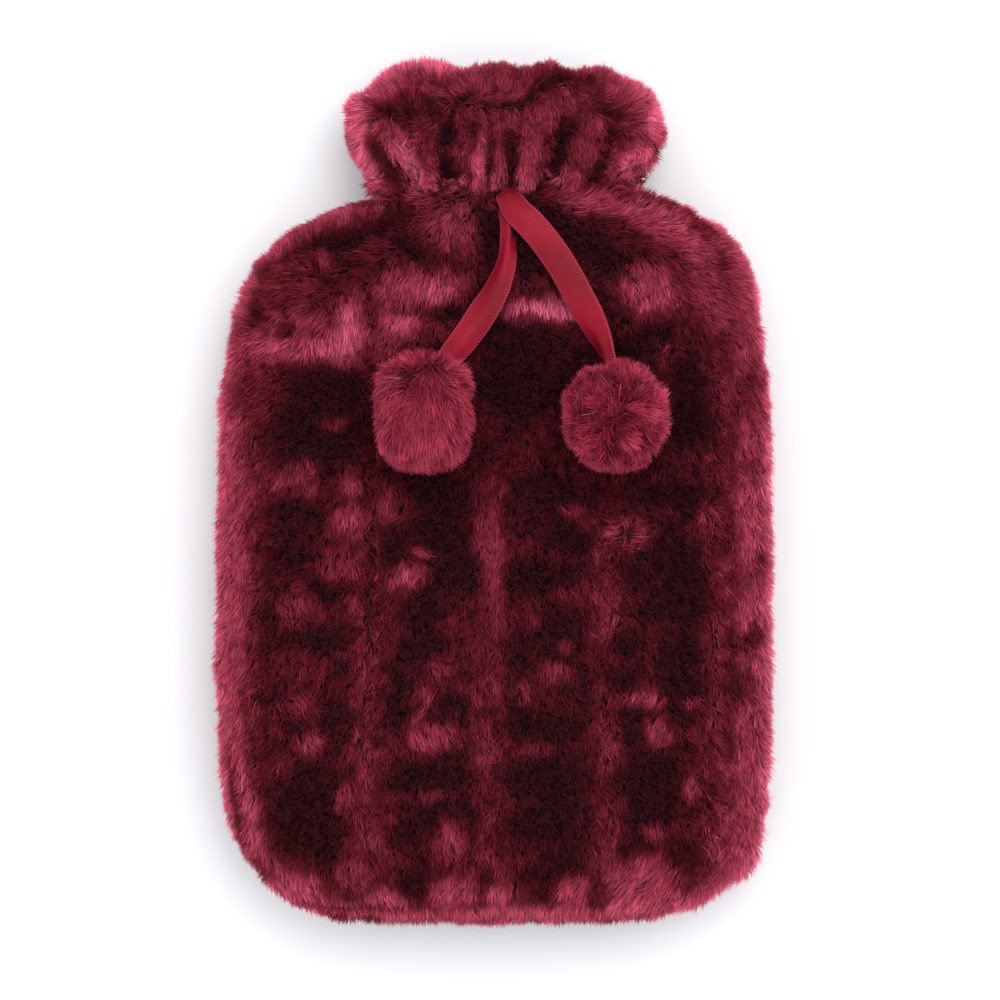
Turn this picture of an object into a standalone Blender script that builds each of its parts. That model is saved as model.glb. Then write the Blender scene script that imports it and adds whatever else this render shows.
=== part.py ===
"""Plush cover for a hot water bottle, lying on its back.

A front and a back panel of deep-pile cloth are sewn together round the rim, gathered into a
neck and left open in a standing ruffle. The two free ends of a satin drawstring come out
under the ruffle, and each carries a pile pompom.

Metres, +Z up. The cover lies on z = 0 with its neck along +Y, and x = 0, y = 0 is the middle
of its length and about the middle of its width. Every outer surface is drawn where the tips
of the pile reach.
"""

import math
from collections import namedtuple

import bmesh
import bpy
import numpy as np
from mathutils import Euler, Vector
from mathutils.bvhtree import BVHTree

# Driving dimensions
SEAM_HEIGHT = 0.024  # of the rim seam over the surface that the cover lies on
GAP = 0.0003  # between pieces that touch
WELD = 0.00002  # points closer than this are one
WALL = 0.016  # seam allowance, cloth and pile together, at the rim
HEM_SET_BACK = 0.003  # of the inner edge of the mouth
SEAM_GROOVE = 0.003  # how far the rim draws in at the seam
SQUARENESS = 2.8  # exponent of the cross-section: 2 is an ellipse, more is boxier
BOW_SHARPNESS = 5  # how suddenly a row bends at its ends
INNER_SQUARENESS = 7  # the bottle presses the inside flat
ROW_PITCH = 0.0125
COLUMNS = 37
COLUMNS_CROWD = 0.12  # how much closer together they stand at the sides than in the middle
EDGE_COLUMNS = (0.970, 0.9955)  # the last two before the seam
SIDE_CALM = 0.55  # how much of the relief is lost by the seam
SEAM_CALM_SHARPNESS = 40  # how suddenly the rest of it goes there
RELIEF_DEPTH = 0.3  # share of the full depth at which a row has all its relief
PILE_UPRIGHT = (-0.177, -0.150)  # y over which the pile turns up from the bottom rim
BOTTOM_WALL = (-0.177, -0.080)  # and over which the inner face runs out of the bottom wall
HEM_START = 0.160  # y where the inner face starts to set back

RIB_VALLEYS = (-0.1010, -0.0520, -0.0025, 0.0450, 0.0900)  # x of each sewn channel
RIB_DEPTH = 0.0030
RIB_HALF_WIDTH = 0.0060
RIBS_FADE_IN = (-0.170, -0.150)  # y over which the channels start
RIBS_FADE_OUT = (0.045, 0.085)  # and run out under the gathers

RIBBON_THICKNESS = 0.0010
RIBBON_STEPS = 26

POMPOM_CUTS = 4  # of each side of the cube that the locks start from
CAGE_SPREAD = 0.94  # 1 would make those squares nearly equal
POMPOM_CORE = 0.62  # of the pompom's radius
LOCK_HALFWAY = 0.55  # of the way from the core to the tip
LOCK_MIDDLE = 1.18  # width of a lock half way up, of its width at the root
LOCK_TIP = 0.80
LOCK_UNEVEN = 0.06  # of the radius, in length
LOCK_STRAY = 0.10  # how far the tips wander sideways

# Cross-sections from the bottom rim to the edge of the ruffle. y is at the middle of the row,
# left and right are its reach in x, crown its height over the seam and sag its depth below.
# bow is how far the ends of the row lie up from its middle, and hollow the share of crown and
# sag that is empty inside.
Section = namedtuple("Section", "y left right crown sag bow hollow")
SECTIONS = (
    Section(-0.1748, -0.0700, 0.0710, 0.0000, 0.0000, 0.0035, 0.62),
    Section(-0.1770, -0.0745, 0.0755, 0.0050, 0.0045, 0.0035, 0.62),
    Section(-0.1757, -0.0798, 0.0805, 0.0102, 0.0090, 0.0032, 0.62),
    Section(-0.1722, -0.0860, 0.0865, 0.0148, 0.0130, 0.0026, 0.62),
    Section(-0.1672, -0.0915, 0.0925, 0.0188, 0.0168, 0.0020, 0.63),
    Section(-0.1605, -0.0978, 0.0983, 0.0222, 0.0200, 0.0014, 0.64),
    Section(-0.1515, -0.1040, 0.1062, 0.0250, 0.0228, 0.0008, 0.65),
    Section(-0.1400, -0.1096, 0.1106, 0.0270, 0.0246, 0.0000, 0.65),
    Section(-0.1220, -0.1140, 0.1140, 0.0281, 0.0256, 0.0000, 0.65),
    Section(-0.0750, -0.1168, 0.1153, 0.0286, 0.0260, 0.0000, 0.65),
    Section(0.0000, -0.1162, 0.1154, 0.0286, 0.0260, 0.0000, 0.65),
    Section(0.0400, -0.1147, 0.1141, 0.0284, 0.0258, 0.0000, 0.65),
    Section(0.0560, -0.1122, 0.1126, 0.0282, 0.0254, 0.0000, 0.64),
    Section(0.0700, -0.1090, 0.1110, 0.0280, 0.0248, 0.0000, 0.63),
    Section(0.0840, -0.1046, 0.1083, 0.0276, 0.0240, 0.0000, 0.62),
    Section(0.0960, -0.0978, 0.1035, 0.0270, 0.0229, 0.0000, 0.60),
    Section(0.1050, -0.0892, 0.0972, 0.0262, 0.0215, 0.0000, 0.58),
    Section(0.1120, -0.0787, 0.0898, 0.0250, 0.0200, 0.0000, 0.50),
    Section(0.1170, -0.0662, 0.0785, 0.0236, 0.0185, 0.0000, 0.42),
    Section(0.1200, -0.0565, 0.0660, 0.0218, 0.0170, 0.0000, 0.36),
    Section(0.1220, -0.0500, 0.0550, 0.0190, 0.0155, 0.0000, 0.30),
    Section(0.1236, -0.0458, 0.0480, 0.0150, 0.0140, 0.0000, 0.36),  # the tie
    Section(0.1252, -0.0482, 0.0525, 0.0185, 0.0150, 0.0000, 0.30),
    Section(0.1285, -0.0520, 0.0598, 0.0214, 0.0165, -0.0006, 0.32),
    Section(0.1345, -0.0562, 0.0652, 0.0236, 0.0185, -0.0026, 0.38),
    Section(0.1450, -0.0602, 0.0688, 0.0252, 0.0208, -0.0060, 0.48),
    Section(0.1570, -0.0626, 0.0706, 0.0252, 0.0216, -0.0095, 0.54),
    Section(0.1670, -0.0634, 0.0688, 0.0238, 0.0208, -0.0115, 0.56),
    Section(0.1740, -0.0615, 0.0672, 0.0205, 0.0185, -0.0122, 0.56),
    Section(0.1768, -0.0565, 0.0648, 0.0165, 0.0150, -0.0115, 0.60),
)
TIE_Y = SECTIONS[21].y
MOUTH_Y = SECTIONS[-1].y

# Pleats of the ruffle: x of each valley at the mouth and at the tie, its depth and half-width.
Pleat = namedtuple("Pleat", "at_mouth at_tie deep wide")
PLEAT_OPENS = 0.6  # how much wider one is at the mouth
PLEAT_SHALLOWS = 0.45  # and how much less deep
PLEAT_STARTS = (-0.05, 0.03)  # share of the way from the tie to the mouth
FRONT_PLEATS = (
    Pleat(-0.0560, -0.0360, 0.0070, 0.0052),
    Pleat(-0.0140, -0.0210, 0.0078, 0.0046),
    Pleat(-0.0020, -0.0035, 0.0030, 0.0026),
    Pleat(0.0100, 0.0045, 0.0058, 0.0044),
    Pleat(0.0340, 0.0205, 0.0078, 0.0046),
    Pleat(0.0560, 0.0420, 0.0070, 0.0046),
)
BACK_PLEATS = (
    Pleat(-0.0420, -0.0300, 0.0050, 0.0050),
    Pleat(-0.0150, -0.0110, 0.0055, 0.0048),
    Pleat(0.0120, 0.0080, 0.0055, 0.0048),
    Pleat(0.0400, 0.0280, 0.0050, 0.0050),
)

# Gathers and creases of the body, each a straight trough from one point to another. One with
# a negative depth is a puff of cloth that stands up.
Fold = namedtuple("Fold", "x y end_x end_y deep wide")
FRONT_FOLDS = (
    Fold(-0.037, 0.120, -0.070, 0.094, 0.0050, 0.0075),  # left of the middle gather
    Fold(0.004, 0.122, -0.003, 0.092, 0.0052, 0.0070),  # under the ribbon
    Fold(0.020, 0.120, 0.026, 0.090, 0.0036, 0.0085),
    Fold(0.044, 0.121, 0.062, 0.106, 0.0030, 0.0060),
    Fold(-0.021, 0.118, -0.025, 0.088, -0.0030, 0.0130),  # middle gather
    Fold(0.034, 0.116, 0.064, 0.098, -0.0022, 0.0120),
    Fold(-0.070, 0.104, -0.090, 0.080, -0.0018, 0.0140),
    Fold(-0.046, 0.076, -0.010, 0.077, 0.0036, 0.0048),  # ledges over the bottle's shoulder
    Fold(0.005, 0.069, 0.036, 0.070, 0.0036, 0.0045),
    Fold(-0.084, 0.051, -0.053, 0.053, 0.0026, 0.0055),
    Fold(0.052, 0.064, 0.076, 0.067, 0.0026, 0.0055),
    Fold(0.078, 0.112, 0.097, 0.070, 0.0020, 0.0040),  # the seam shows through
)
BACK_FOLDS = (
    Fold(-0.030, 0.120, -0.055, 0.088, 0.0040, 0.0080),
    Fold(-0.010, 0.121, -0.016, 0.084, 0.0044, 0.0080),
    Fold(0.010, 0.121, 0.017, 0.084, 0.0044, 0.0080),
    Fold(0.031, 0.120, 0.058, 0.088, 0.0040, 0.0080),
)

# Lumps of the pile: how high each wave is, how long, which way it runs and where it starts.
Wave = namedtuple("Wave", "high long turned start")
LUMPS = (
    Wave(0.00055, 0.061, 0.4, 1.1),
    Wave(0.00050, 0.043, 2.0, 4.0),
    Wave(0.00045, 0.034, 1.2, 2.7),
    Wave(0.00040, 0.027, 2.7, 0.5),
    Wave(0.00030, 0.022, 0.1, 5.2),
)

# Routes of the ribbon's free ends, from the tie to the pompoms. turn is how far the band has
# rolled about its own length, in degrees, and wide its width there.
Stop = namedtuple("Stop", "x y z turn wide")
RIBBON_ROUTES = {
    "ribbon_left": (
        Stop(0.0043, 0.1215, 0.0411, 3, 0.0060),
        Stop(0.0044, 0.1180, 0.0453, 7, 0.0070),
        Stop(0.0045, 0.1130, 0.0480, 10, 0.0082),
        Stop(0.0052, 0.1050, 0.0498, -5, 0.0100),
        Stop(0.0040, 0.0940, 0.0512, -12, 0.0118),
        Stop(0.0005, 0.0830, 0.0528, -3, 0.0120),
        Stop(-0.0055, 0.0720, 0.0538, 0, 0.0120),
        Stop(-0.0120, 0.0620, 0.0548, 5, 0.0118),
        Stop(-0.0175, 0.0545, 0.0600, 10, 0.0100),
        Stop(-0.0220, 0.0468, 0.0665, 15, 0.0080),
    ),
    "ribbon_right": (
        Stop(0.0046, 0.1215, 0.0444, 0, 0.0080),
        Stop(0.0052, 0.1182, 0.0492, 0, 0.0096),
        Stop(0.0082, 0.1135, 0.0516, 0, 0.0112),
        Stop(0.0140, 0.1075, 0.0526, 0, 0.0120),
        Stop(0.0215, 0.0985, 0.0518, 0, 0.0120),
        Stop(0.0280, 0.0885, 0.0524, 0, 0.0120),
        Stop(0.0335, 0.0780, 0.0530, -8, 0.0120),
        Stop(0.0385, 0.0680, 0.0550, -28, 0.0118),
        Stop(0.0420, 0.0590, 0.0598, -52, 0.0105),
        Stop(0.0440, 0.0510, 0.0650, -68, 0.0085),
        Stop(0.0450, 0.0446, 0.0680, -72, 0.0070),
    ),
}

# Pompoms: the ribbon that each is on, its middle and half-sizes, how square its outline is,
# which way its locks are combed and how strongly, how its cage is turned, and its draw.
Pompom = namedtuple("Pompom", "ribbon middle half square comb turned seed")
POMPOMS = {
    "pompom_left": Pompom(
        ribbon="ribbon_left",
        middle=(-0.0284, 0.0322, 0.0715),
        half=(0.0202, 0.0245, 0.0195),
        square=3.0,
        comb=(0.0, -0.26, 0.0),
        turned=(0.5, 0.2, 0.8),
        seed=4,
    ),
    "pompom_right": Pompom(
        ribbon="ribbon_right",
        middle=(0.0474, 0.0300, 0.0710),
        half=(0.0224, 0.0231, 0.0205),
        square=2.1,
        comb=(0.0, 0.0, 0.0),
        turned=(0.7, 0.4, 0.3),
        seed=9,
    ),
}
RIBBON_GATE = 0.86  # cosine round the ribbon's end within which a pompom has no locks

PLUSH = (0.140, 0.008, 0.026, 1)
POMPOM_PILE = (0.230, 0.022, 0.062, 1)
SATIN = (0.330, 0.012, 0.038, 1)


def clear_scene():
    for thing in list(bpy.data.objects):
        bpy.data.objects.remove(thing, do_unlink=True)


def cloth_material(name, colour, roughness):
    material = bpy.data.materials.new(name)
    material.use_nodes = True
    shader = material.node_tree.nodes["Principled BSDF"]
    shader.inputs["Base Color"].default_value = colour
    shader.inputs["Roughness"].default_value = roughness
    shader.inputs["Metallic"].default_value = 0.0
    return material


def fade(value, start, end):
    """Goes smoothly from 0 at start to 1 at end."""
    t = np.clip((value - start) / (end - start), 0, 1)
    return t * t * (3 - 2 * t)


def along_table(table, at):
    """Every column of a table at the row numbers 'at', which need not be whole.

    Each column follows cubic pieces whose slope at a row is the harmonic mean of the slopes
    on its two sides, or level where those disagree in sign, so that it never overshoots.
    """
    whole = np.clip(np.floor(at).astype(int), 0, len(table) - 2)
    t = at - whole
    columns = {}
    for name in table[0]._fields:
        values = np.array([getattr(row, name) for row in table])
        step = np.diff(values)
        both = step[1:] * step[:-1]
        total = np.where(both > 0, step[1:] + step[:-1], 1.0)
        slope = np.concatenate((step[:1], np.where(both > 0, 2 * both / total, 0), step[-1:]))
        columns[name] = (
            values[whole] * (1 + 2 * t) * (1 - t) ** 2
            + slope[whole] * t * (1 - t) ** 2
            + values[whole + 1] * t**2 * (3 - 2 * t)
            + slope[whole + 1] * t**2 * (t - 1)
        )
    return columns


def row_numbers():
    """Where the cloth has a row of points: at each section, and in between where it is long."""
    rows = []
    for number, (low, high) in enumerate(zip(SECTIONS, SECTIONS[1:])):
        pieces = max(1, round((high.y - low.y) / ROW_PITCH))
        rows += [number + k / pieces for k in range(pieces)]
    rows.append(len(SECTIONS) - 1)
    if len(rows) % 2 == 0:  # the inner face takes every second row, both ends included
        rows.insert(-1, len(SECTIONS) - 1.5)
    return np.array(rows, dtype=float)


def column_places():
    """Where it has a column, from -1 at the left seam to 1 at the right, one on each channel."""
    even = np.linspace(-1, 1, COLUMNS)
    places = (1 + COLUMNS_CROWD) * even - COLUMNS_CROWD * even**3
    places[[-3, -2]] = EDGE_COLUMNS
    places[[2, 1]] = -places[[-3, -2]]
    widest = max(section.right for section in SECTIONS)
    for valley in RIB_VALLEYS:
        places[np.abs(places - valley / widest).argmin()] = valley / widest
    return places


def trough(x, y, fold):
    """1 on the line of a fold, and less with the distance from it, as a bell curve."""
    run = np.array((fold.end_x - fold.x, fold.end_y - fold.y))
    along = ((x - fold.x) * run[0] + (y - fold.y) * run[1]) / (run @ run)
    along = np.clip(along, 0, 1)
    off = np.hypot(x - fold.x - along * run[0], y - fold.y - along * run[1])
    return np.exp(-((off / fold.wide) ** 2))


def relief(x, y, pleats, folds):
    """How far the pile stands out from the plain section: ribs, folds, pleats and lumps."""
    ribs = sum(np.exp(-(((x - valley) / RIB_HALF_WIDTH) ** 2)) for valley in RIB_VALLEYS)
    shown = fade(y, *RIBS_FADE_IN) * (1 - fade(y, *RIBS_FADE_OUT))
    out = -RIB_DEPTH * ribs * shown
    for fold in folds:
        out = out - fold.deep * trough(x, y, fold)
    up = (y - TIE_Y) / (MOUTH_Y - TIE_Y)
    for pleat in pleats:
        line = pleat.at_tie + (pleat.at_mouth - pleat.at_tie) * up
        opened = pleat.wide * (1 + PLEAT_OPENS * np.clip(up, 0, 1))
        depth = pleat.deep * (1 - PLEAT_SHALLOWS * np.clip(up, 0, 1)) * fade(up, *PLEAT_STARTS)
        out = out - depth * np.exp(-(((x - line) / opened) ** 2))
    for wave in LUMPS:
        run = x * math.cos(wave.turned) + y * math.sin(wave.turned)
        out = out + wave.high * np.sin(2 * math.pi * run / wave.long + wave.start)
    return out


def outer_face(side, rows, places):
    """The pile side of a panel, a grid of points: side is 1 for the front, -1 for the back."""
    at = {name: column[:, None] for name, column in along_table(SECTIONS, rows).items()}
    across = places[None, :]
    depth = at["crown"] if side > 0 else at["sag"]
    reach = np.where(across < 0, -at["left"], at["right"])
    tuck = SEAM_GROOVE * depth / depth.max() * (np.abs(across) == 1)
    x = across * reach - np.sign(across) * tuck
    y = at["y"] + at["bow"] * np.abs(across) ** BOW_SHARPNESS
    level = (1 - np.abs(across) ** SQUARENESS) ** (1 / SQUARENESS)

    pleats, folds = (FRONT_PLEATS, FRONT_FOLDS) if side > 0 else (BACK_PLEATS, BACK_FOLDS)
    out = relief(x, y, pleats, folds)
    out = out * fade(depth, 0, RELIEF_DEPTH * depth.max())  # none at the bottom seam
    out = out * (1 - SIDE_CALM * across**6)
    lean = math.pi / 2 * across**3  # the way the pile points, from upright to sideways
    foot = math.pi / 2 * (1 - fade(at["y"], *PILE_UPRIGHT))
    x = x + out * np.sin(lean) * np.cos(foot)
    y = y - out * np.sin(foot)
    calm = 1 - np.abs(across) ** SEAM_CALM_SHARPNESS
    height = depth * level + out * np.cos(lean) * np.cos(foot) * calm
    z = SEAM_HEIGHT + side * (GAP / 2 + np.maximum(height, 0))
    return np.stack((x, y, np.maximum(z, 0)), axis=2)


def inner_face(side, rows, places):
    """The cloth side of a panel, round the space for the bottle."""
    at = {name: column[:, None] for name, column in along_table(SECTIONS, rows).items()}
    across = places[None, :]
    depth = (at["crown"] if side > 0 else at["sag"]) * at["hollow"]
    reach = np.where(across < 0, -at["left"], at["right"]) - WALL
    x = across * reach
    y = at["y"] + at["bow"] * np.abs(across) ** BOW_SHARPNESS
    y = y + WALL * (1 - fade(at["y"], *BOTTOM_WALL))
    y = y - HEM_SET_BACK * fade(at["y"], HEM_START, MOUTH_Y)
    level = (1 - np.abs(across) ** INNER_SQUARENESS) ** (1 / INNER_SQUARENESS)
    z = SEAM_HEIGHT + side * (GAP / 2 + depth * level)
    return np.stack(np.broadcast_arrays(x, y, z), axis=2)


def grid_faces(first, rows, columns, flipped):
    """The four-sided faces of a grid of points numbered row by row."""
    faces = []
    for i in range(rows - 1):
        for j in range(columns - 1):
            a = first + i * columns + j
            face = (a, a + 1, a + columns + 1, a + columns)
            faces.append(face[::-1] if flipped else face)
    return faces


def rim_of(first, rows, columns):
    """The points round a grid: its first row, right side, last row and left side."""
    right, top = columns - 1, (rows - 1) * columns
    loop = list(range(0, right))
    loop += list(range(right, top + right, columns))
    loop += list(range(top + right, top, -1))
    loop += list(range(top, 0, -columns))
    return [first + number for number in loop]


def panel(name, side, material, home):
    """One panel: its pile face, its cloth face at half the detail, and the strip between."""
    rows, places = row_numbers(), column_places()
    outer = outer_face(side, rows, places)
    inner = inner_face(side, rows[::2], places[::2])
    points = np.concatenate((outer.reshape(-1, 3), inner.reshape(-1, 3)))
    start = outer.shape[0] * outer.shape[1]
    faces = grid_faces(0, *outer.shape[:2], side < 0)
    faces += grid_faces(start, *inner.shape[:2], side > 0)
    outer_rim = rim_of(0, *outer.shape[:2])
    inner_rim = rim_of(start, *inner.shape[:2])
    for k, here in enumerate(inner_rim):
        after = inner_rim[(k + 1) % len(inner_rim)]
        three = [outer_rim[(2 * k + step) % len(outer_rim)] for step in range(3)]
        strip = (here, *three, after)
        faces.append(strip if side < 0 else strip[::-1])

    mesh = bpy.data.meshes.new(name)
    mesh.from_pydata(points.tolist(), [], faces)
    close_up(mesh)
    return add_object(name, mesh, material, home)


def close_up(mesh):
    """Joins points that lie on one another and turns every face outwards."""
    work = bmesh.new()
    work.from_mesh(mesh)
    bmesh.ops.remove_doubles(work, verts=work.verts, dist=WELD)
    bmesh.ops.triangulate(work, faces=work.faces)
    bmesh.ops.recalc_face_normals(work, faces=work.faces)
    work.to_mesh(mesh)
    work.free()


def add_object(name, mesh, material, home):
    mesh.materials.append(material)
    mesh.shade_smooth()
    thing = bpy.data.objects.new(name, mesh)
    home.objects.link(thing)
    return thing


def ribbon(name, route, material, home):
    """A flat band: its four-cornered section is carried along the route and rolled by turn."""
    at = along_table(route, np.linspace(0, len(route) - 1, RIBBON_STEPS))
    middle = np.stack((at["x"], at["y"], at["z"]), axis=1)
    ahead = np.gradient(middle, axis=0)
    ahead /= np.linalg.norm(ahead, axis=1)[:, None]
    level = np.cross(ahead, (0, 0, 1))
    level /= np.linalg.norm(level, axis=1)[:, None]
    above = np.cross(level, ahead)
    turn = np.radians(at["turn"])[:, None]
    width = level * np.cos(turn) + above * np.sin(turn)
    across = width * at["wide"][:, None] / 2
    through = np.cross(width, ahead) * RIBBON_THICKNESS / 2
    corners = [middle + a * across + b * through for a, b in ((1, 1), (-1, 1), (-1, -1), (1, -1))]
    points = np.stack(corners, axis=1).reshape(-1, 3)

    faces = [(0, 1, 2, 3), tuple(range(len(points) - 1, len(points) - 5, -1))]
    for i in range(0, len(points) - 4, 4):
        for j in range(4):
            k = (j + 1) % 4
            faces.append((i + j, i + 4 + j, i + 4 + k, i + k))
    mesh = bpy.data.meshes.new(name)
    mesh.from_pydata(points.tolist(), [], faces)
    close_up(mesh)
    return add_object(name, mesh, material, home)


def rounded(direction, half, square):
    """The point of a rounded box with these half-sizes that lies in a direction."""
    size = sum(abs(d / h) ** square for d, h in zip(direction, half)) ** (1 / square)
    return direction / size


def extrude_locks(work, roots, scale, target):
    """Draws each root face out, shrinks it, and moves its middle to where target says."""
    tips = bmesh.ops.extrude_discrete_faces(work, faces=roots)["faces"]
    for face in tips:
        centre = face.calc_center_median()
        goal = target(centre)
        for point in face.verts:
            point.co = goal + (point.co - centre) * scale
    return tips


def pompom(name, shape, material, home, ground, enters):
    """A core with four-sided locks all round, each in two steps, bare where the ribbon enters.

    The core is a cube cut into squares and blown up into a rounded box. The locks that would
    reach into the cloth below stop just over it.
    """
    draw = np.random.default_rng(shape.seed)
    half = Vector(shape.half)
    work = bmesh.new()
    bmesh.ops.create_cube(work, size=2)
    bmesh.ops.subdivide_edges(work, edges=work.edges, cuts=POMPOM_CUTS, use_grid_fill=True)
    turned = Euler(shape.turned).to_matrix()
    for point in work.verts:
        spread = Vector([math.tan(c * math.pi / 4 * CAGE_SPREAD) for c in point.co])
        point.co = rounded((turned @ spread).normalized(), half, shape.square) * POMPOM_CORE

    gate = (Vector(enters) - Vector(shape.middle)).normalized()
    comb = Vector(shape.comb)
    roots = [
        face
        for face in work.faces
        if face.calc_center_median().normalized().dot(gate) < RIBBON_GATE
    ]

    def reach(share):
        def target(centre):
            stray = Vector(draw.uniform(-1, 1, 3)) * LOCK_STRAY * share
            way = (centre.normalized() + comb * share + stray).normalized()
            uneven = 1 + LOCK_UNEVEN * share * float(draw.uniform(-1, 1))
            return rounded(way, half, shape.square) * (
                POMPOM_CORE + (1 - POMPOM_CORE) * share
            ) * uneven

        return target

    middles = extrude_locks(work, roots, LOCK_MIDDLE, reach(LOCK_HALFWAY))
    extrude_locks(work, middles, LOCK_TIP / LOCK_MIDDLE, reach(1.0))
    bmesh.ops.translate(work, vec=Vector(shape.middle), verts=work.verts)
    for point in work.verts:
        below = ground.ray_cast(Vector((point.co.x, point.co.y, 1.0)), Vector((0, 0, -1)))[0]
        if below is not None:
            point.co.z = max(point.co.z, below.z + 2 * GAP)
    mesh = bpy.data.meshes.new(name)
    work.to_mesh(mesh)
    work.free()
    close_up(mesh)
    return add_object(name, mesh, material, home)


def build_cover():
    clear_scene()
    home = bpy.data.collections.new("hot_water_bottle_cover")
    bpy.context.scene.collection.children.link(home)
    plush = cloth_material("plush", PLUSH, 0.75)
    pile = cloth_material("pompom_pile", POMPOM_PILE, 0.75)
    satin = cloth_material("satin", SATIN, 0.35)

    front = panel("front_panel", 1, plush, home)
    panel("back_panel", -1, plush, home)
    for name, route in RIBBON_ROUTES.items():
        ribbon(name, route, satin, home)
    work = bmesh.new()
    work.from_mesh(front.data)
    ground = BVHTree.FromBMesh(work)
    work.free()
    for name, shape in POMPOMS.items():
        end = RIBBON_ROUTES[shape.ribbon][-1]
        pompom(name, shape, pile, home, ground, (end.x, end.y, end.z))


build_cover()
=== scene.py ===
"""A deep-pile plush cover for a hot water bottle, lying on its back on a white table top."""

import math
from collections import namedtuple

import bpy
import numpy as np
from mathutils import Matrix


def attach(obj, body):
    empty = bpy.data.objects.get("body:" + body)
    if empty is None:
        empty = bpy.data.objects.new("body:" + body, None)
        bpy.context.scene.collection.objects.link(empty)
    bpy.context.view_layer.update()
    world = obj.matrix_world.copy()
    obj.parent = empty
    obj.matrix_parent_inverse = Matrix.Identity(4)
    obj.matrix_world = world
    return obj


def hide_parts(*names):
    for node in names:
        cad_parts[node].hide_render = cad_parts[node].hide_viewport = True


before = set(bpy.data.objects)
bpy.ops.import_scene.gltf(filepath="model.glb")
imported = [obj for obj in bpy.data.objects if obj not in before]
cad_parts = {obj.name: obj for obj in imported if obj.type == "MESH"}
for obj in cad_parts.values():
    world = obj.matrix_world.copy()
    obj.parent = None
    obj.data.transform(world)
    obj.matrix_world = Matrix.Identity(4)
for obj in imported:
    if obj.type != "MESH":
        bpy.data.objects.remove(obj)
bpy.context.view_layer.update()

# ---- The table top and the daylight ------------------------------------------------------
# A smooth white lacquered table top, which the cover lies on. It is seen from straight above
# in soft daylight, most of it from a window high on the right.

SEAM_HEIGHT = 0.024
CAMERA_OVER_SEAM = 1.300
PIXEL = 0.00041  # what one pixel shows at the height of the seam
CAMERA_X, CAMERA_Y = 0.00164, -0.00308

scene = bpy.context.scene
scene.view_settings.view_transform = "Standard"

lens = bpy.data.cameras.new("camera")
lens.sensor_width = 36.0
lens.lens = 36.0 * CAMERA_OVER_SEAM / (1000 * PIXEL)
lens.clip_start, lens.clip_end = 0.05, 20.0
camera = bpy.data.objects.new("camera", lens)
camera.location = (CAMERA_X, CAMERA_Y, SEAM_HEIGHT + CAMERA_OVER_SEAM)
scene.collection.objects.link(camera)
scene.camera = camera


class Lead:
    """One socket of a material's nodes, which adds, subtracts and multiplies like a number."""

    def __init__(self, tree, socket):
        self.tree, self.socket = tree, socket

    def leads(self, kind, settings=None, **values):
        """Every output of a new node: its settings first, then its sockets by name or _number."""
        made = self.tree.nodes.new("ShaderNode" + kind)
        for name, value in (settings or {}).items():
            if name == "stops":
                ramp = made.color_ramp
                while len(ramp.elements) < len(value):
                    ramp.elements.new(0.5)
                for element, (place, colour) in zip(ramp.elements, value):
                    element.position, element.color = place, colour
            else:
                setattr(made, name, value)
        for name, value in values.items():
            slot = made.inputs[int(name[1:]) if name[0] == "_" else name.replace("_", " ")]
            if isinstance(value, Lead):
                self.tree.links.new(value.socket, slot)
            else:
                slot.default_value = value
        return [Lead(self.tree, socket) for socket in made.outputs]

    def lead(self, kind, settings=None, out=0, **values):
        """One output of a new node."""
        return self.leads(kind, settings, **values)[out]

    def maths(self, operation, *values):
        """A Math node on these values, which may be leads or numbers."""
        slots = {f"_{n}": value for n, value in enumerate(values)}
        return self.lead("Math", {"operation": operation}, **slots)

    def __add__(self, other):
        return self.maths("ADD", self, other)

    def __sub__(self, other):
        return self.maths("SUBTRACT", self, other)

    def __rsub__(self, other):
        return self.maths("SUBTRACT", other, self)

    def __mul__(self, other):
        return self.maths("MULTIPLY", self, other)

    __radd__, __rmul__ = __add__, __mul__

    def wave(self, pitch, late=0.0):
        """A sine of this, whose length is the pitch and which starts late by that angle."""
        turn = self * (2 * math.pi / pitch)
        return self.maths("SINE", turn - late if late else turn)

    def between(self, low, high):
        """0 below low, 1 above high and straight in between."""
        return self.lead("MapRange", {"clamp": True}, _0=self, _1=low, _2=high, _3=0.0, _4=1.0)

    def mix(self, first, second):
        """The colour first where this is 0 and second where it is 1."""
        return self.lead("Mix", {"data_type": "RGBA"}, out=2, _0=self, _6=first, _7=second)


def finish_of(name, **constants):
    """A new material: a lead to start from, and its Principled shader with these constants."""
    material = bpy.data.materials.new(name)
    material.use_nodes = True
    shader = material.node_tree.nodes["Principled BSDF"]
    for key, value in constants.items():
        shader.inputs[key.replace("_", " ")].default_value = value
    return material, Lead(material.node_tree, None), shader


def feed(shader, **leads):
    """Links these leads to the shader's sockets of the same names."""
    for name, lead in leads.items():
        shader.id_data.links.new(lead.socket, shader.inputs[name.replace("_", " ")])


def put(name, mesh, *materials):
    """A new object at the origin with this mesh and these materials."""
    for material in materials:
        mesh.materials.append(material)
    thing = bpy.data.objects.new(name, mesh)
    scene.collection.objects.link(thing)
    return thing


table_mesh = bpy.data.meshes.new("table_top")
table_mesh.from_pydata([(-6, -6, 0), (6, -6, 0), (6, 6, 0), (-6, 6, 0)], [], [(0, 1, 2, 3)])
lacquer = finish_of("white_lacquer", Base_Color=(0.80, 0.795, 0.81, 1), Roughness=0.6)[0]
put("table_top", table_mesh, lacquer)

sky = bpy.data.worlds.new("daylight")
sky.use_nodes = True
sky.node_tree.nodes["Background"].inputs["Color"].default_value = (0.96, 0.98, 1.0, 1)
sky.node_tree.nodes["Background"].inputs["Strength"].default_value = 1.30
scene.world = sky

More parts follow.
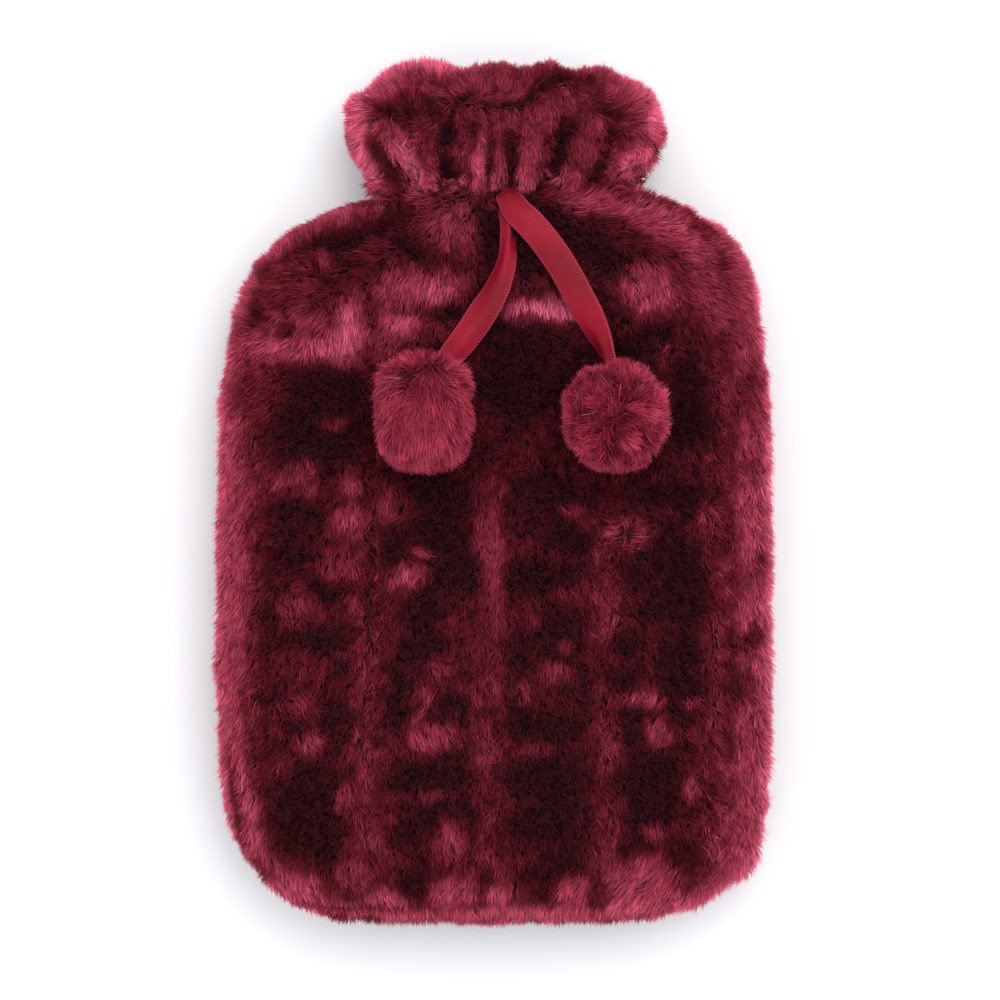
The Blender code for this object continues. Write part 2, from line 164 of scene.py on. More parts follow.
WINDOW_AT = (0.36, 0.50, 1.25)
light = bpy.data.lights.new("window", "AREA")
light.shape, light.size, light.energy, light.color = "DISK", 1.00, 6.5, (1.0, 0.985, 0.97)
window = bpy.data.objects.new("window", light)
window.location = WINDOW_AT
x, y, z = WINDOW_AT
window.rotation_euler = (math.atan2(math.hypot(x, y), z), 0, math.atan2(y, x) + math.pi / 2)
scene.collection.objects.link(window)

# ---- The drawstring's free ends ----------------------------------------------------------
# A 12 mm satin ribbon, woven with a fine corded edge. It comes out of the gathers under the
# ruffle, folds flat over the shoulder and is gathered into the top of a pompom at each end.

RIBBON_WIDTH = 0.012
RIBBON_THICK = 0.00045
RIBBON_CUP = 0.0005  # how far its edges curl down from its middle

Stop = namedtuple("Stop", "x y z wide turn")


def listed(kind, lengths, *rows):
    """Named rows, in metres, from rows whose first few values are tenths of a millimetre."""
    return [kind(*(value / 10000 for value in row[:lengths]), *row[lengths:]) for row in rows]


# The middle of each ribbon from the tie to its pompom, its width there and its roll in degrees.
RIBBON_LEFT = listed(
    Stop, 4,
    (43, 1215, 411, 45, 3), (44, 1180, 453, 50, 7), (45, 1130, 480, 54, 14),
    (52, 1050, 498, 60, 12), (40, 940, 512, 78, -14), (5, 830, 528, 104, -16),
    (-55, 720, 538, 118, -8), (-120, 620, 548, 112, 5), (-175, 545, 600, 100, 10),
    (-220, 468, 665, 80, 15),
)
RIBBON_RIGHT = listed(
    Stop, 4,
    (46, 1226, 410, 98, 0), (50, 1200, 482, 102, 0), (82, 1135, 516, 114, 0),
    (140, 1075, 526, 120, 0), (215, 985, 518, 120, 0), (280, 885, 524, 120, 0),
    (335, 780, 530, 120, -8), (385, 680, 550, 118, -28), (420, 590, 598, 105, -52),
    (440, 510, 650, 85, -68), (450, 446, 680, 70, -72),
)


def along(table, at):
    """Every column of a table at the row numbers 'at', which need not be whole.

    Each column follows cubic pieces whose slope at a row is the harmonic mean of the slopes
    on its two sides, or level where those disagree in sign, so that it never overshoots.
    """
    whole = np.clip(np.floor(at).astype(int), 0, len(table) - 2)
    t = at - whole
    columns = {}
    for name in table[0]._fields:
        values = np.array([getattr(row, name) for row in table])
        step = np.diff(values)
        both = step[1:] * step[:-1]
        total = np.where(both > 0, step[1:] + step[:-1], 1.0)
        slope = np.concatenate((step[:1], np.where(both > 0, 2 * both / total, 0), step[-1:]))
        columns[name] = (
            values[whole] * (1 + 2 * t) * (1 - t) ** 2
            + slope[whole] * t * (1 - t) ** 2
            + values[whole + 1] * t**2 * (3 - 2 * t)
            + slope[whole + 1] * t**2 * (t - 1)
        )
    return columns


def unit(vectors):
    """The same directions, one long."""
    return vectors / np.maximum(np.linalg.norm(vectors, axis=-1, keepdims=True), 1e-12)


def grid_quads(rows, columns, wrapped):
    """Corner numbers of the four-sided faces of a grid whose rows may close on themselves."""
    j = np.arange(columns if wrapped else columns - 1)
    i, j = np.meshgrid(np.arange(rows - 1) * columns, j, indexing="ij")
    after = (j + 1) % columns
    faces = np.stack((i + j, i + after, i + columns + after, i + columns + j), axis=-1)
    return faces.reshape(-1, 4)


def mesh_of(name, points, faces):
    """A smooth mesh from an array of points and one of corner numbers, a row for each face."""
    mesh = bpy.data.meshes.new(name)
    sides = faces.shape[1]
    mesh.vertices.add(len(points))
    mesh.vertices.foreach_set("co", np.asarray(points, dtype=np.float32).ravel())
    mesh.loops.add(faces.size)
    mesh.loops.foreach_set("vertex_index", faces.ravel().astype(np.int32))
    mesh.polygons.add(len(faces))
    mesh.polygons.foreach_set("loop_start", np.arange(0, faces.size, sides, dtype=np.int32))
    mesh.polygons.foreach_set("use_smooth", np.ones(len(faces), dtype=bool))
    mesh.update(calc_edges=True)
    return mesh


def lay_out(mesh, places):
    """Gives the mesh a UV map from an array with a place in the unit square for each corner."""
    layer = mesh.uv_layers.new(name="OFBake")
    layer.data.foreach_set("uv", np.asarray(places, dtype=np.float32).ravel())


def note(mesh, name, kind, field, values):
    """Keeps an array of values, a row for each point, as an attribute of the mesh."""
    kept = mesh.attributes.new(name, kind, "POINT")
    kept.data.foreach_set(field, np.asarray(values, dtype=np.float32).ravel())


def ribbon_band(name, route, steps=120, across=12):
    """A thin band with closed edges, carried along a route and rolled by its turn.

    Its section is two rows of points half a thickness to each side of a shallow arch: the
    arch lies below its middle by the cup times the square of the place across. Where the
    band is narrower than it was woven, a cosine folds its spare width lengthwise.
    """
    at = along(route, np.linspace(0, len(route) - 1, steps))
    middle = np.stack((at["x"], at["y"], at["z"]), axis=1)
    ahead = unit(np.gradient(middle, axis=0))
    level = unit(np.cross(ahead, (0, 0, 1)))
    above = np.cross(level, ahead)
    turn = np.radians(at["turn"])[:, None]
    width = level * np.cos(turn) + above * np.sin(turn)
    through = np.cross(width, ahead)

    place = np.linspace(-1, 1, across)
    section = np.concatenate((place, place[::-1]))
    face = np.concatenate((np.ones(across), -np.ones(across)))
    spare = np.sqrt(np.maximum(RIBBON_WIDTH**2 - at["wide"] ** 2, 0))[:, None]
    crumple = spare * (0.07 * np.cos(section * 4.2) - 0.18 * section**2)[None, :]
    lift = face * RIBBON_THICK / 2 - RIBBON_CUP * section**2 + crumple
    points = (
        middle[:, None, :]
        + width[:, None, :] * (section[None, :] * at["wide"][:, None] / 2)[..., None]
        + through[:, None, :] * lift[..., None]
    )
    round_it = 2 * across
    k = np.arange(across - 1)
    first = np.stack((k, k + 1, round_it - 2 - k, round_it - 1 - k), axis=1)
    last = (steps - 1) * round_it + first[:, ::-1]
    faces = np.concatenate((grid_quads(steps, round_it, True)[:, ::-1], first, last))
    mesh = mesh_of(name, points.reshape(-1, 3), faces)

    run = np.concatenate(([0], np.cumsum(np.linalg.norm(np.diff(middle, axis=0), axis=1))))
    along_it, across_it = np.broadcast_arrays(run[:, None], section[None, :] * RIBBON_WIDTH / 2)
    flat = np.stack((across_it, along_it, np.broadcast_to(face, across_it.shape)), axis=-1)
    note(mesh, "weave", "FLOAT_VECTOR", "vector", flat)

    # The band fills most of the UV map, and the faces of its two ends a strip beside it.
    i, j = np.meshgrid(np.arange(steps - 1), np.arange(round_it), indexing="ij")
    u = np.stack((j, j + 1, j + 1, j), axis=-1)[..., ::-1] / round_it * 0.9 + 0.02
    v = np.stack((i, i, i + 1, i + 1), axis=-1)[..., ::-1] / steps * 0.96 + 0.02
    body = np.stack((u, v), axis=-1).reshape(-1, 2)
    ends = [
        (0.94 + 0.02 * (c in (1, 2)) + 0.03 * (e == 1), 0.05 + (k + (c > 1)) * 0.06)
        for e in range(2)
        for k in range(across - 1)
        for c in ((0, 1, 2, 3) if e == 0 else (3, 2, 1, 0))
    ]
    lay_out(mesh, np.concatenate((body, np.array(ends))))
    return mesh, middle, float(run[-1])


WARP_PITCH, WEFT_PITCH, BEAD_PITCH = 0.00042, 0.00060, 0.00110
EDGE_FROM, EDGE_TO = 0.0051, 0.0056  # where its face turns into its corded edge
# The painted highlight on the satin: its pitch, slant and start.
GLEAM_PITCH, GLEAM_SLANT, GLEAM_LATE = 0.043, 0.8, 2.08


def satin_finish():
    """Crimson satin: fine threads both ways, a corded edge, and a painted gleam.

    The gleam is a painted highlight: a long wave of lighter colour over the length, a little
    aslant. It is brightest where the band turns to the light.
    """
    satin, start, shader = finish_of(
        "crimson_satin",
        Roughness=0.36,
        Specular_IOR_Level=0.10,
        Sheen_Weight=0.03,
        Sheen_Roughness=0.35,
        Sheen_Tint=(1.0, 0.45, 0.55, 1),
    )
    where = start.lead("Attribute", {"attribute_name": "weave"}, out=1)
    across, length, _ = start.leads("SeparateXYZ", _0=where)
    warp, weft = across.wave(WARP_PITCH), length.wave(WEFT_PITCH)
    edge = across.maths("ABSOLUTE", across).between(EDGE_FROM, EDGE_TO)
    beads = length.wave(BEAD_PITCH).between(-0.2, 0.7)
    slub = start.lead("TexNoise", {"noise_dimensions": "3D"}, Vector=where, Scale=240.0, Detail=2.0)
    # Painted highlight: lighter bands of colour where the satin catches the light.
    gleam = (length + across * GLEAM_SLANT).wave(GLEAM_PITCH, GLEAM_LATE).between(-0.8, 0.9)
    tone = (gleam * 0.50 + slub * 0.50 + warp * 0.05).between(0.10, 0.90)
    # The face colour runs from a painted shade to a painted highlight tone, by the gleam and the
    # random slub.
    face = tone.mix((0.155, 0.0018, 0.0078, 1), (0.270, 0.0062, 0.0205, 1))
    cord = beads.mix((0.150, 0.0050, 0.0120, 1), (0.480, 0.0500, 0.0900, 1))
    colour = edge.mix(face, cord)
    height = warp * 0.4 + weft * 0.3 + edge * beads * 2.0
    bump = start.lead("Bump", Strength=0.35, Distance=0.00008, Height=height)
    feed(shader, Base_Color=colour, Normal=bump, Roughness=(edge * 0.25 + 0.30))
    return satin


satin = satin_finish()
ribbons = {}
for name, route in (("ribbon_left", RIBBON_LEFT), ("ribbon_right", RIBBON_RIGHT)):
    mesh, line, length = ribbon_band("satin_" + name, route)
    band = put("satin_" + name, mesh, satin)
    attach(band, "root")
    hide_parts(name)
    ribbons[name] = (band, line, length)

# ---- The cloth of the two panels ---------------------------------------------------------
# Knitted backing about 1 mm thick, cut as one front and one back, sewn together round the
# rim and drawn in at the neck. The pile stands on it, and the mouth shows its plain side.

# The skin that the tips of the pile reach, from the bottom rim to the hem: how far it goes to
# the left and right, how far over and under the seam, and how far its ends are pulled up.
Section = namedtuple("Section", "y left right crown sag bow", defaults=(0,))
SECTIONS = listed(
    Section, 6,
    (-1748, -700, 710, 0, 0, 35), (-1770, -745, 755, 50, 45, 35), (-1757, -798, 805, 102, 90, 32),
    (-1722, -860, 865, 148, 130, 26), (-1672, -915, 925, 188, 168, 20),
    (-1605, -978, 983, 222, 200, 14), (-1515, -1040, 1062, 250, 228, 8),
    (-1400, -1096, 1106, 270, 246), (-1220, -1140, 1140, 281, 256), (-750, -1168, 1153, 286, 260),
    (0, -1162, 1154, 286, 260), (400, -1147, 1141, 284, 258), (560, -1122, 1126, 282, 254),
    (700, -1090, 1110, 280, 248), (840, -1046, 1083, 276, 240), (960, -978, 1035, 270, 229),
    (1050, -892, 972, 262, 215), (1120, -787, 898, 250, 200), (1170, -662, 785, 236, 185),
    (1200, -565, 660, 218, 170), (1220, -500, 550, 190, 155),
    # the tie:
    (1236, -458, 480, 150, 140), (1252, -482, 525, 185, 150), (1285, -520, 598, 214, 165, -6),
    (1345, -562, 652, 236, 185, -26), (1450, -602, 688, 252, 208, -60),
    (1570, -626, 706, 252, 216, -95), (1670, -634, 688, 238, 208, -115),
    (1740, -615, 672, 205, 185, -122), (1768, -565, 648, 165, 150, -115),
)
LAST_ROW = len(SECTIONS) - 1
TIE_ROW = 21
TIE_Y, MOUTH_Y = SECTIONS[TIE_ROW].y, SECTIONS[-1].y
SQUARENESS = 2.8  # 2 gives an ellipse, more a fuller edge
SEAM_GAP = 0.0003
CLOTH_THICK = 0.0011
PILE = 0.0088  # from the cloth to the tips where nothing presses it
UNDER_THE_TIE, TIE_ROWS = 0.35, 1.6  # share of that which the tie presses away, over how far


def fade(value, start, end):
    """Goes smoothly from 0 at start to 1 at end."""
    t = np.clip((value - start) / (end - start), 0, 1)
    return t * t * (3 - 2 * t)


ROOTS_FOLLOW = 0.8  # share of a fold's depth that the cloth itself dips
RIB_VALLEYS = (-0.1010, -0.0520, -0.0025, 0.0450, 0.0900)
RIB_DEPTH, RIB_HALF_WIDTH = 0.0030, 0.0060
RIBS_FROM, RIBS_TO = (-0.170, -0.150), (0.045, 0.085)
FULL_DEPTH = 0.0085  # how thick half the cover is where its folds have their full depth
LESS_AT_SEAM = 0.55
PLEATS_OPEN, PLEATS_FLATTEN = 0.6, 0.45  # wider and shallower towards the mouth
Pleat = namedtuple("Pleat", "at_mouth at_tie deep wide")
PLEATS, FOLDS = {}, {}  # by side: 1 is the front and -1 the back
PLEATS[1] = listed(
    Pleat, 4,
    (-560, -360, 70, 52), (-140, -210, 78, 46), (-20, -35, 30, 26), (100, 45, 58, 44),
    (340, 205, 78, 46), (560, 420, 70, 46),
)
PLEATS[-1] = listed(
    Pleat, 4,
    (-420, -300, 50, 50), (-150, -110, 55, 48), (120, 80, 55, 48), (400, 280, 50, 50),
)
Fold = namedtuple("Fold", "x y end_x end_y deep wide")
FOLDS[1] = listed(
    Fold, 6,
    (-370, 1200, -700, 940, 50, 75), (40, 1220, -30, 920, 52, 70), (200, 1200, 260, 900, 36, 85),
    (440, 1210, 620, 1060, 30, 60), (-210, 1180, -250, 880, -30, 130),
    (340, 1160, 640, 980, -22, 120), (-700, 1040, -900, 800, -18, 140),
    (-460, 760, -100, 770, 36, 48), (50, 690, 360, 700, 36, 45), (-840, 510, -530, 530, 26, 55),
    (520, 640, 760, 670, 26, 55), (780, 1120, 970, 700, 20, 40),
)
FOLDS[-1] = listed(
    Fold, 6,
    (-300, 1200, -550, 880, 40, 80), (-100, 1210, -160, 840, 44, 80), (100, 1210, 170, 840, 44, 80),
    (310, 1200, 580, 880, 40, 80),
)


def fold_line(x, y, fold):
    """1 on the line of a fold, and less with the distance from it, as a bell curve."""
    run = np.array((fold.end_x - fold.x, fold.end_y - fold.y))
    share = np.clip(((x - fold.x) * run[0] + (y - fold.y) * run[1]) / (run @ run), 0, 1)
    off = np.hypot(x - fold.x - share * run[0], y - fold.y - share * run[1])
    return np.exp(-((off / fold.wide) ** 2))


def relief(face, side, across, depth):
    """How far the tips stand out from the plain face: channels, gathers and pleats.

    Each is a bell curve of the distance from its line. They lose half their depth towards
    the seam, and all of it where the cover thins out at the bottom.
    """
    x, y = face[..., 0], face[..., 1]
    ribs = sum(np.exp(-(((x - valley) / RIB_HALF_WIDTH) ** 2)) for valley in RIB_VALLEYS)
    out = -RIB_DEPTH * ribs * (fade(y, *RIBS_FROM) * (1 - fade(y, *RIBS_TO)))
    for fold in FOLDS[side]:
        out = out - fold.deep * fold_line(x, y, fold)
    up = (y - TIE_Y) / (MOUTH_Y - TIE_Y)
    for pleat in PLEATS[side]:
        line = pleat.at_tie + (pleat.at_mouth - pleat.at_tie) * up
        opened = pleat.wide * (1 + PLEATS_OPEN * np.clip(up, 0, 1))
        low = pleat.deep * (1 - PLEATS_FLATTEN * np.clip(up, 0, 1)) * fade(up, -0.05, 0.03)
        out = out - low * np.exp(-(((x - line) / opened) ** 2))
    return out * fade(depth, 0, FULL_DEPTH) * (1 - LESS_AT_SEAM * across**6)


def plain_face(side, rows, angles, sections):
    """The smooth skin that the pile's tips reach, as a grid of points.

    Each row is half a superellipse: x is the reach times |cos|^(2/n) of the angle, and the
    height over the seam is the crown or the sag times |sin|^(2/n), with n the squareness.
    The ends of a row are pulled up the cover by the bow times |cos|^(10/n).
    """
    at = {name: column[:, None] for name, column in along(sections, rows).items()}
    cosine, sine = np.cos(angles)[None, :], np.sin(angles)[None, :]
    across = np.sign(cosine) * np.abs(cosine) ** (2 / SQUARENESS)
    depth = at["crown"] if side > 0 else at["sag"]
    x = across * np.where(across < 0, -at["left"], at["right"])
    y = at["y"] + at["bow"] * np.abs(across) ** 5
    z = SEAM_HEIGHT + side * (SEAM_GAP / 2 + depth * np.abs(sine) ** (2 / SQUARENESS))
    return np.stack(np.broadcast_arrays(x, y, z), axis=-1), across + 0 * at["y"], depth


def without_the_tie(low, high):
    """The table with its rows between two numbers evened out, as if nothing were tied there."""
    rows = list(SECTIONS)
    for number in range(low + 1, high):
        share = (SECTIONS[number].y - SECTIONS[low].y) / (SECTIONS[high].y - SECTIONS[low].y)
        even = [a + (b - a) * share for a, b in zip(SECTIONS[low], SECTIONS[high])]
        rows[number] = Section(SECTIONS[number].y, *even[1:])
    return tuple(rows)


EVEN_SECTIONS = without_the_tie(TIE_ROW - 3, TIE_ROW + 3)


def pile_shell(side, rows, angles):
    """The smooth skin, the way that the pile stands there, its places across and its depth.

    The pile stands square to the skin that there would be without the tie: the way is the
    cross product of that skin's two slopes.
    """
    face, across, depth = plain_face(side, rows, angles, SECTIONS)
    even = plain_face(side, rows, angles, EVEN_SECTIONS)[0]
    upright = unit(np.cross(np.gradient(even, axis=1), np.gradient(even, axis=0)) * side)
    return face, upright, across, depth


def pile_room(rows):
    """How deep the pile is on each row: less where the tie presses it."""
    return PILE * (1 - UNDER_THE_TIE * np.exp(-(((rows - TIE_ROW) / TIE_ROWS) ** 2)))


def cell_areas(grid):
    """The area of each cell of a grid of points: the length of the cross product of its sides."""
    corner = grid[:-1, :-1]
    return np.linalg.norm(np.cross(grid[1:, :-1] - corner, grid[:-1, 1:] - corner), axis=-1)


def cloth_panel(name, side, rows=74, columns=66):
    """The backing, as a mesh and its area: the pile's root surface, and a copy further in.

    Both come down to the seam along the bottom rim, where neither crosses it.
    """
    row_at = np.linspace(0, LAST_ROW, rows)
    angles = np.linspace(math.pi - 0.012, 0.012, columns)
    face, upright, across, depth = pile_shell(side, row_at, angles)
    sunk = relief(face, side, across, depth)
    outer = face + upright * (sunk * ROOTS_FOLLOW - pile_room(row_at)[:, None] - 0.0002)[..., None]
    inner = outer - upright * CLOTH_THICK
    closed = fade(row_at, 0.0, 4.0)[:, None]
    for layer, least in ((outer, 0.0004), (inner, 0.0001)):
        above = side * (layer[..., 2] - SEAM_HEIGHT)
        layer[..., 2] = SEAM_HEIGHT + side * np.maximum(above * closed, least)
    points = np.concatenate((outer.reshape(-1, 3), inner.reshape(-1, 3)))
    quads = grid_quads(rows, columns, False)
    count = rows * columns
    numbers = np.arange(count).reshape(rows, columns)
    rim = np.concatenate((numbers[0], numbers[1:, -1], numbers[-1, -2::-1], numbers[-2:0:-1, 0]))
    after = np.roll(rim, -1)
    edge = np.stack((rim, rim + count, after + count, after), axis=1)
    faces = np.concatenate((quads, quads[:, ::-1] + count, edge))
    if side < 0:
        faces = faces[:, ::-1]
    mesh = mesh_of(name, points, faces)
    return mesh, float(cell_areas(outer).sum())


def backing_finish():
    """Knitted backing: dark wine, with fine courses of loops."""
    backing, start, shader = finish_of("knitted_backing", Roughness=0.85)
    where = start.lead("TexCoord", out=3)
    bands = {"wave_type": "BANDS", "bands_direction": "Y"}
    courses = start.lead("TexWave", bands, Vector=where, Scale=160.0, Distortion=1.2)
    specks = start.lead("TexNoise", Vector=where, Scale=420.0, Detail=3.0)
    tone = courses * 0.6 + specks * 0.4
    feed(
        shader,
        Base_Color=tone.mix((0.020, 0.0012, 0.0040, 1), (0.060, 0.0040, 0.0120, 1)),
        Normal=start.lead("Bump", Strength=0.5, Distance=0.0003, Height=tone),
    )
    return backing


backing = backing_finish()
panels = {}
for name, side in (("front_panel", 1), ("back_panel", -1)):
    mesh, area = cloth_panel("cloth_" + name, side)
    cloth = put("cloth_" + name, mesh, backing)
    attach(cloth, "root")
    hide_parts(name)
    panels[name] = (cloth, area)

# ---- The pile of the panels --------------------------------------------------------------
# Acrylic pile about 9 mm long, knitted in dense and dyed wine red. It was combed up between
# the sewn channels and parts along them, and packing has laid it over in patches.

def hills(x, y, size, seed):
    """Smooth random hills from -1 to 1: heights drawn at the corners of squares of that size."""
    heights = np.random.default_rng(seed).uniform(-1, 1, (257, 257))
    u, v = x / size + 128.3, y / size + 128.7
    i, j = np.floor(u).astype(int), np.floor(v).astype(int)
    s, t = u - i, v - j
    s, t = s * s * (3 - 2 * s), t * t * (3 - 2 * t)
    i, j = i % 256, j % 256
    near = heights[i, j] * (1 - s) + heights[i + 1, j] * s
    far = heights[i, j + 1] * (1 - s) + heights[i + 1, j + 1] * s
    return near * (1 - t) + far * t


def heaped(base, x, y, layers):
    """The base with each layer of random hills added to it in turn."""
    for height, size, seed in layers:
        base = base + height * hills(x, y, size, seed)
    return base


# Layers of hills, as the height, the size and the seed of each: how the outlines of the marks
# are blurred, how far the pile leans anywhere and which way, and how it goes astray in the
# channels and on the ruffle.
BLURS = ((0.0020, 0.0060, 11), (0.0011, 0.0021, 12)), ((0.0020, 0.0060, 13), (0.0011, 0.0021, 14))
LEANS = ((0.20, 0.0130, 3), (0.12, 0.0050, 4))
TURNS = ((0.9, 0.0090, 5), (0.5, 0.0035, 6))
UNEVEN = ((0.35, 0.0060, 7), (0.25, 0.0026, 8))
WILD = ((0.34, 0.0055, 9), (0.30, 0.0024, 15)), ((0.30, 0.0050, 10), (0.28, 0.0022, 16))
TRIMMINGS = ((0.10, 0.0065, 21),)
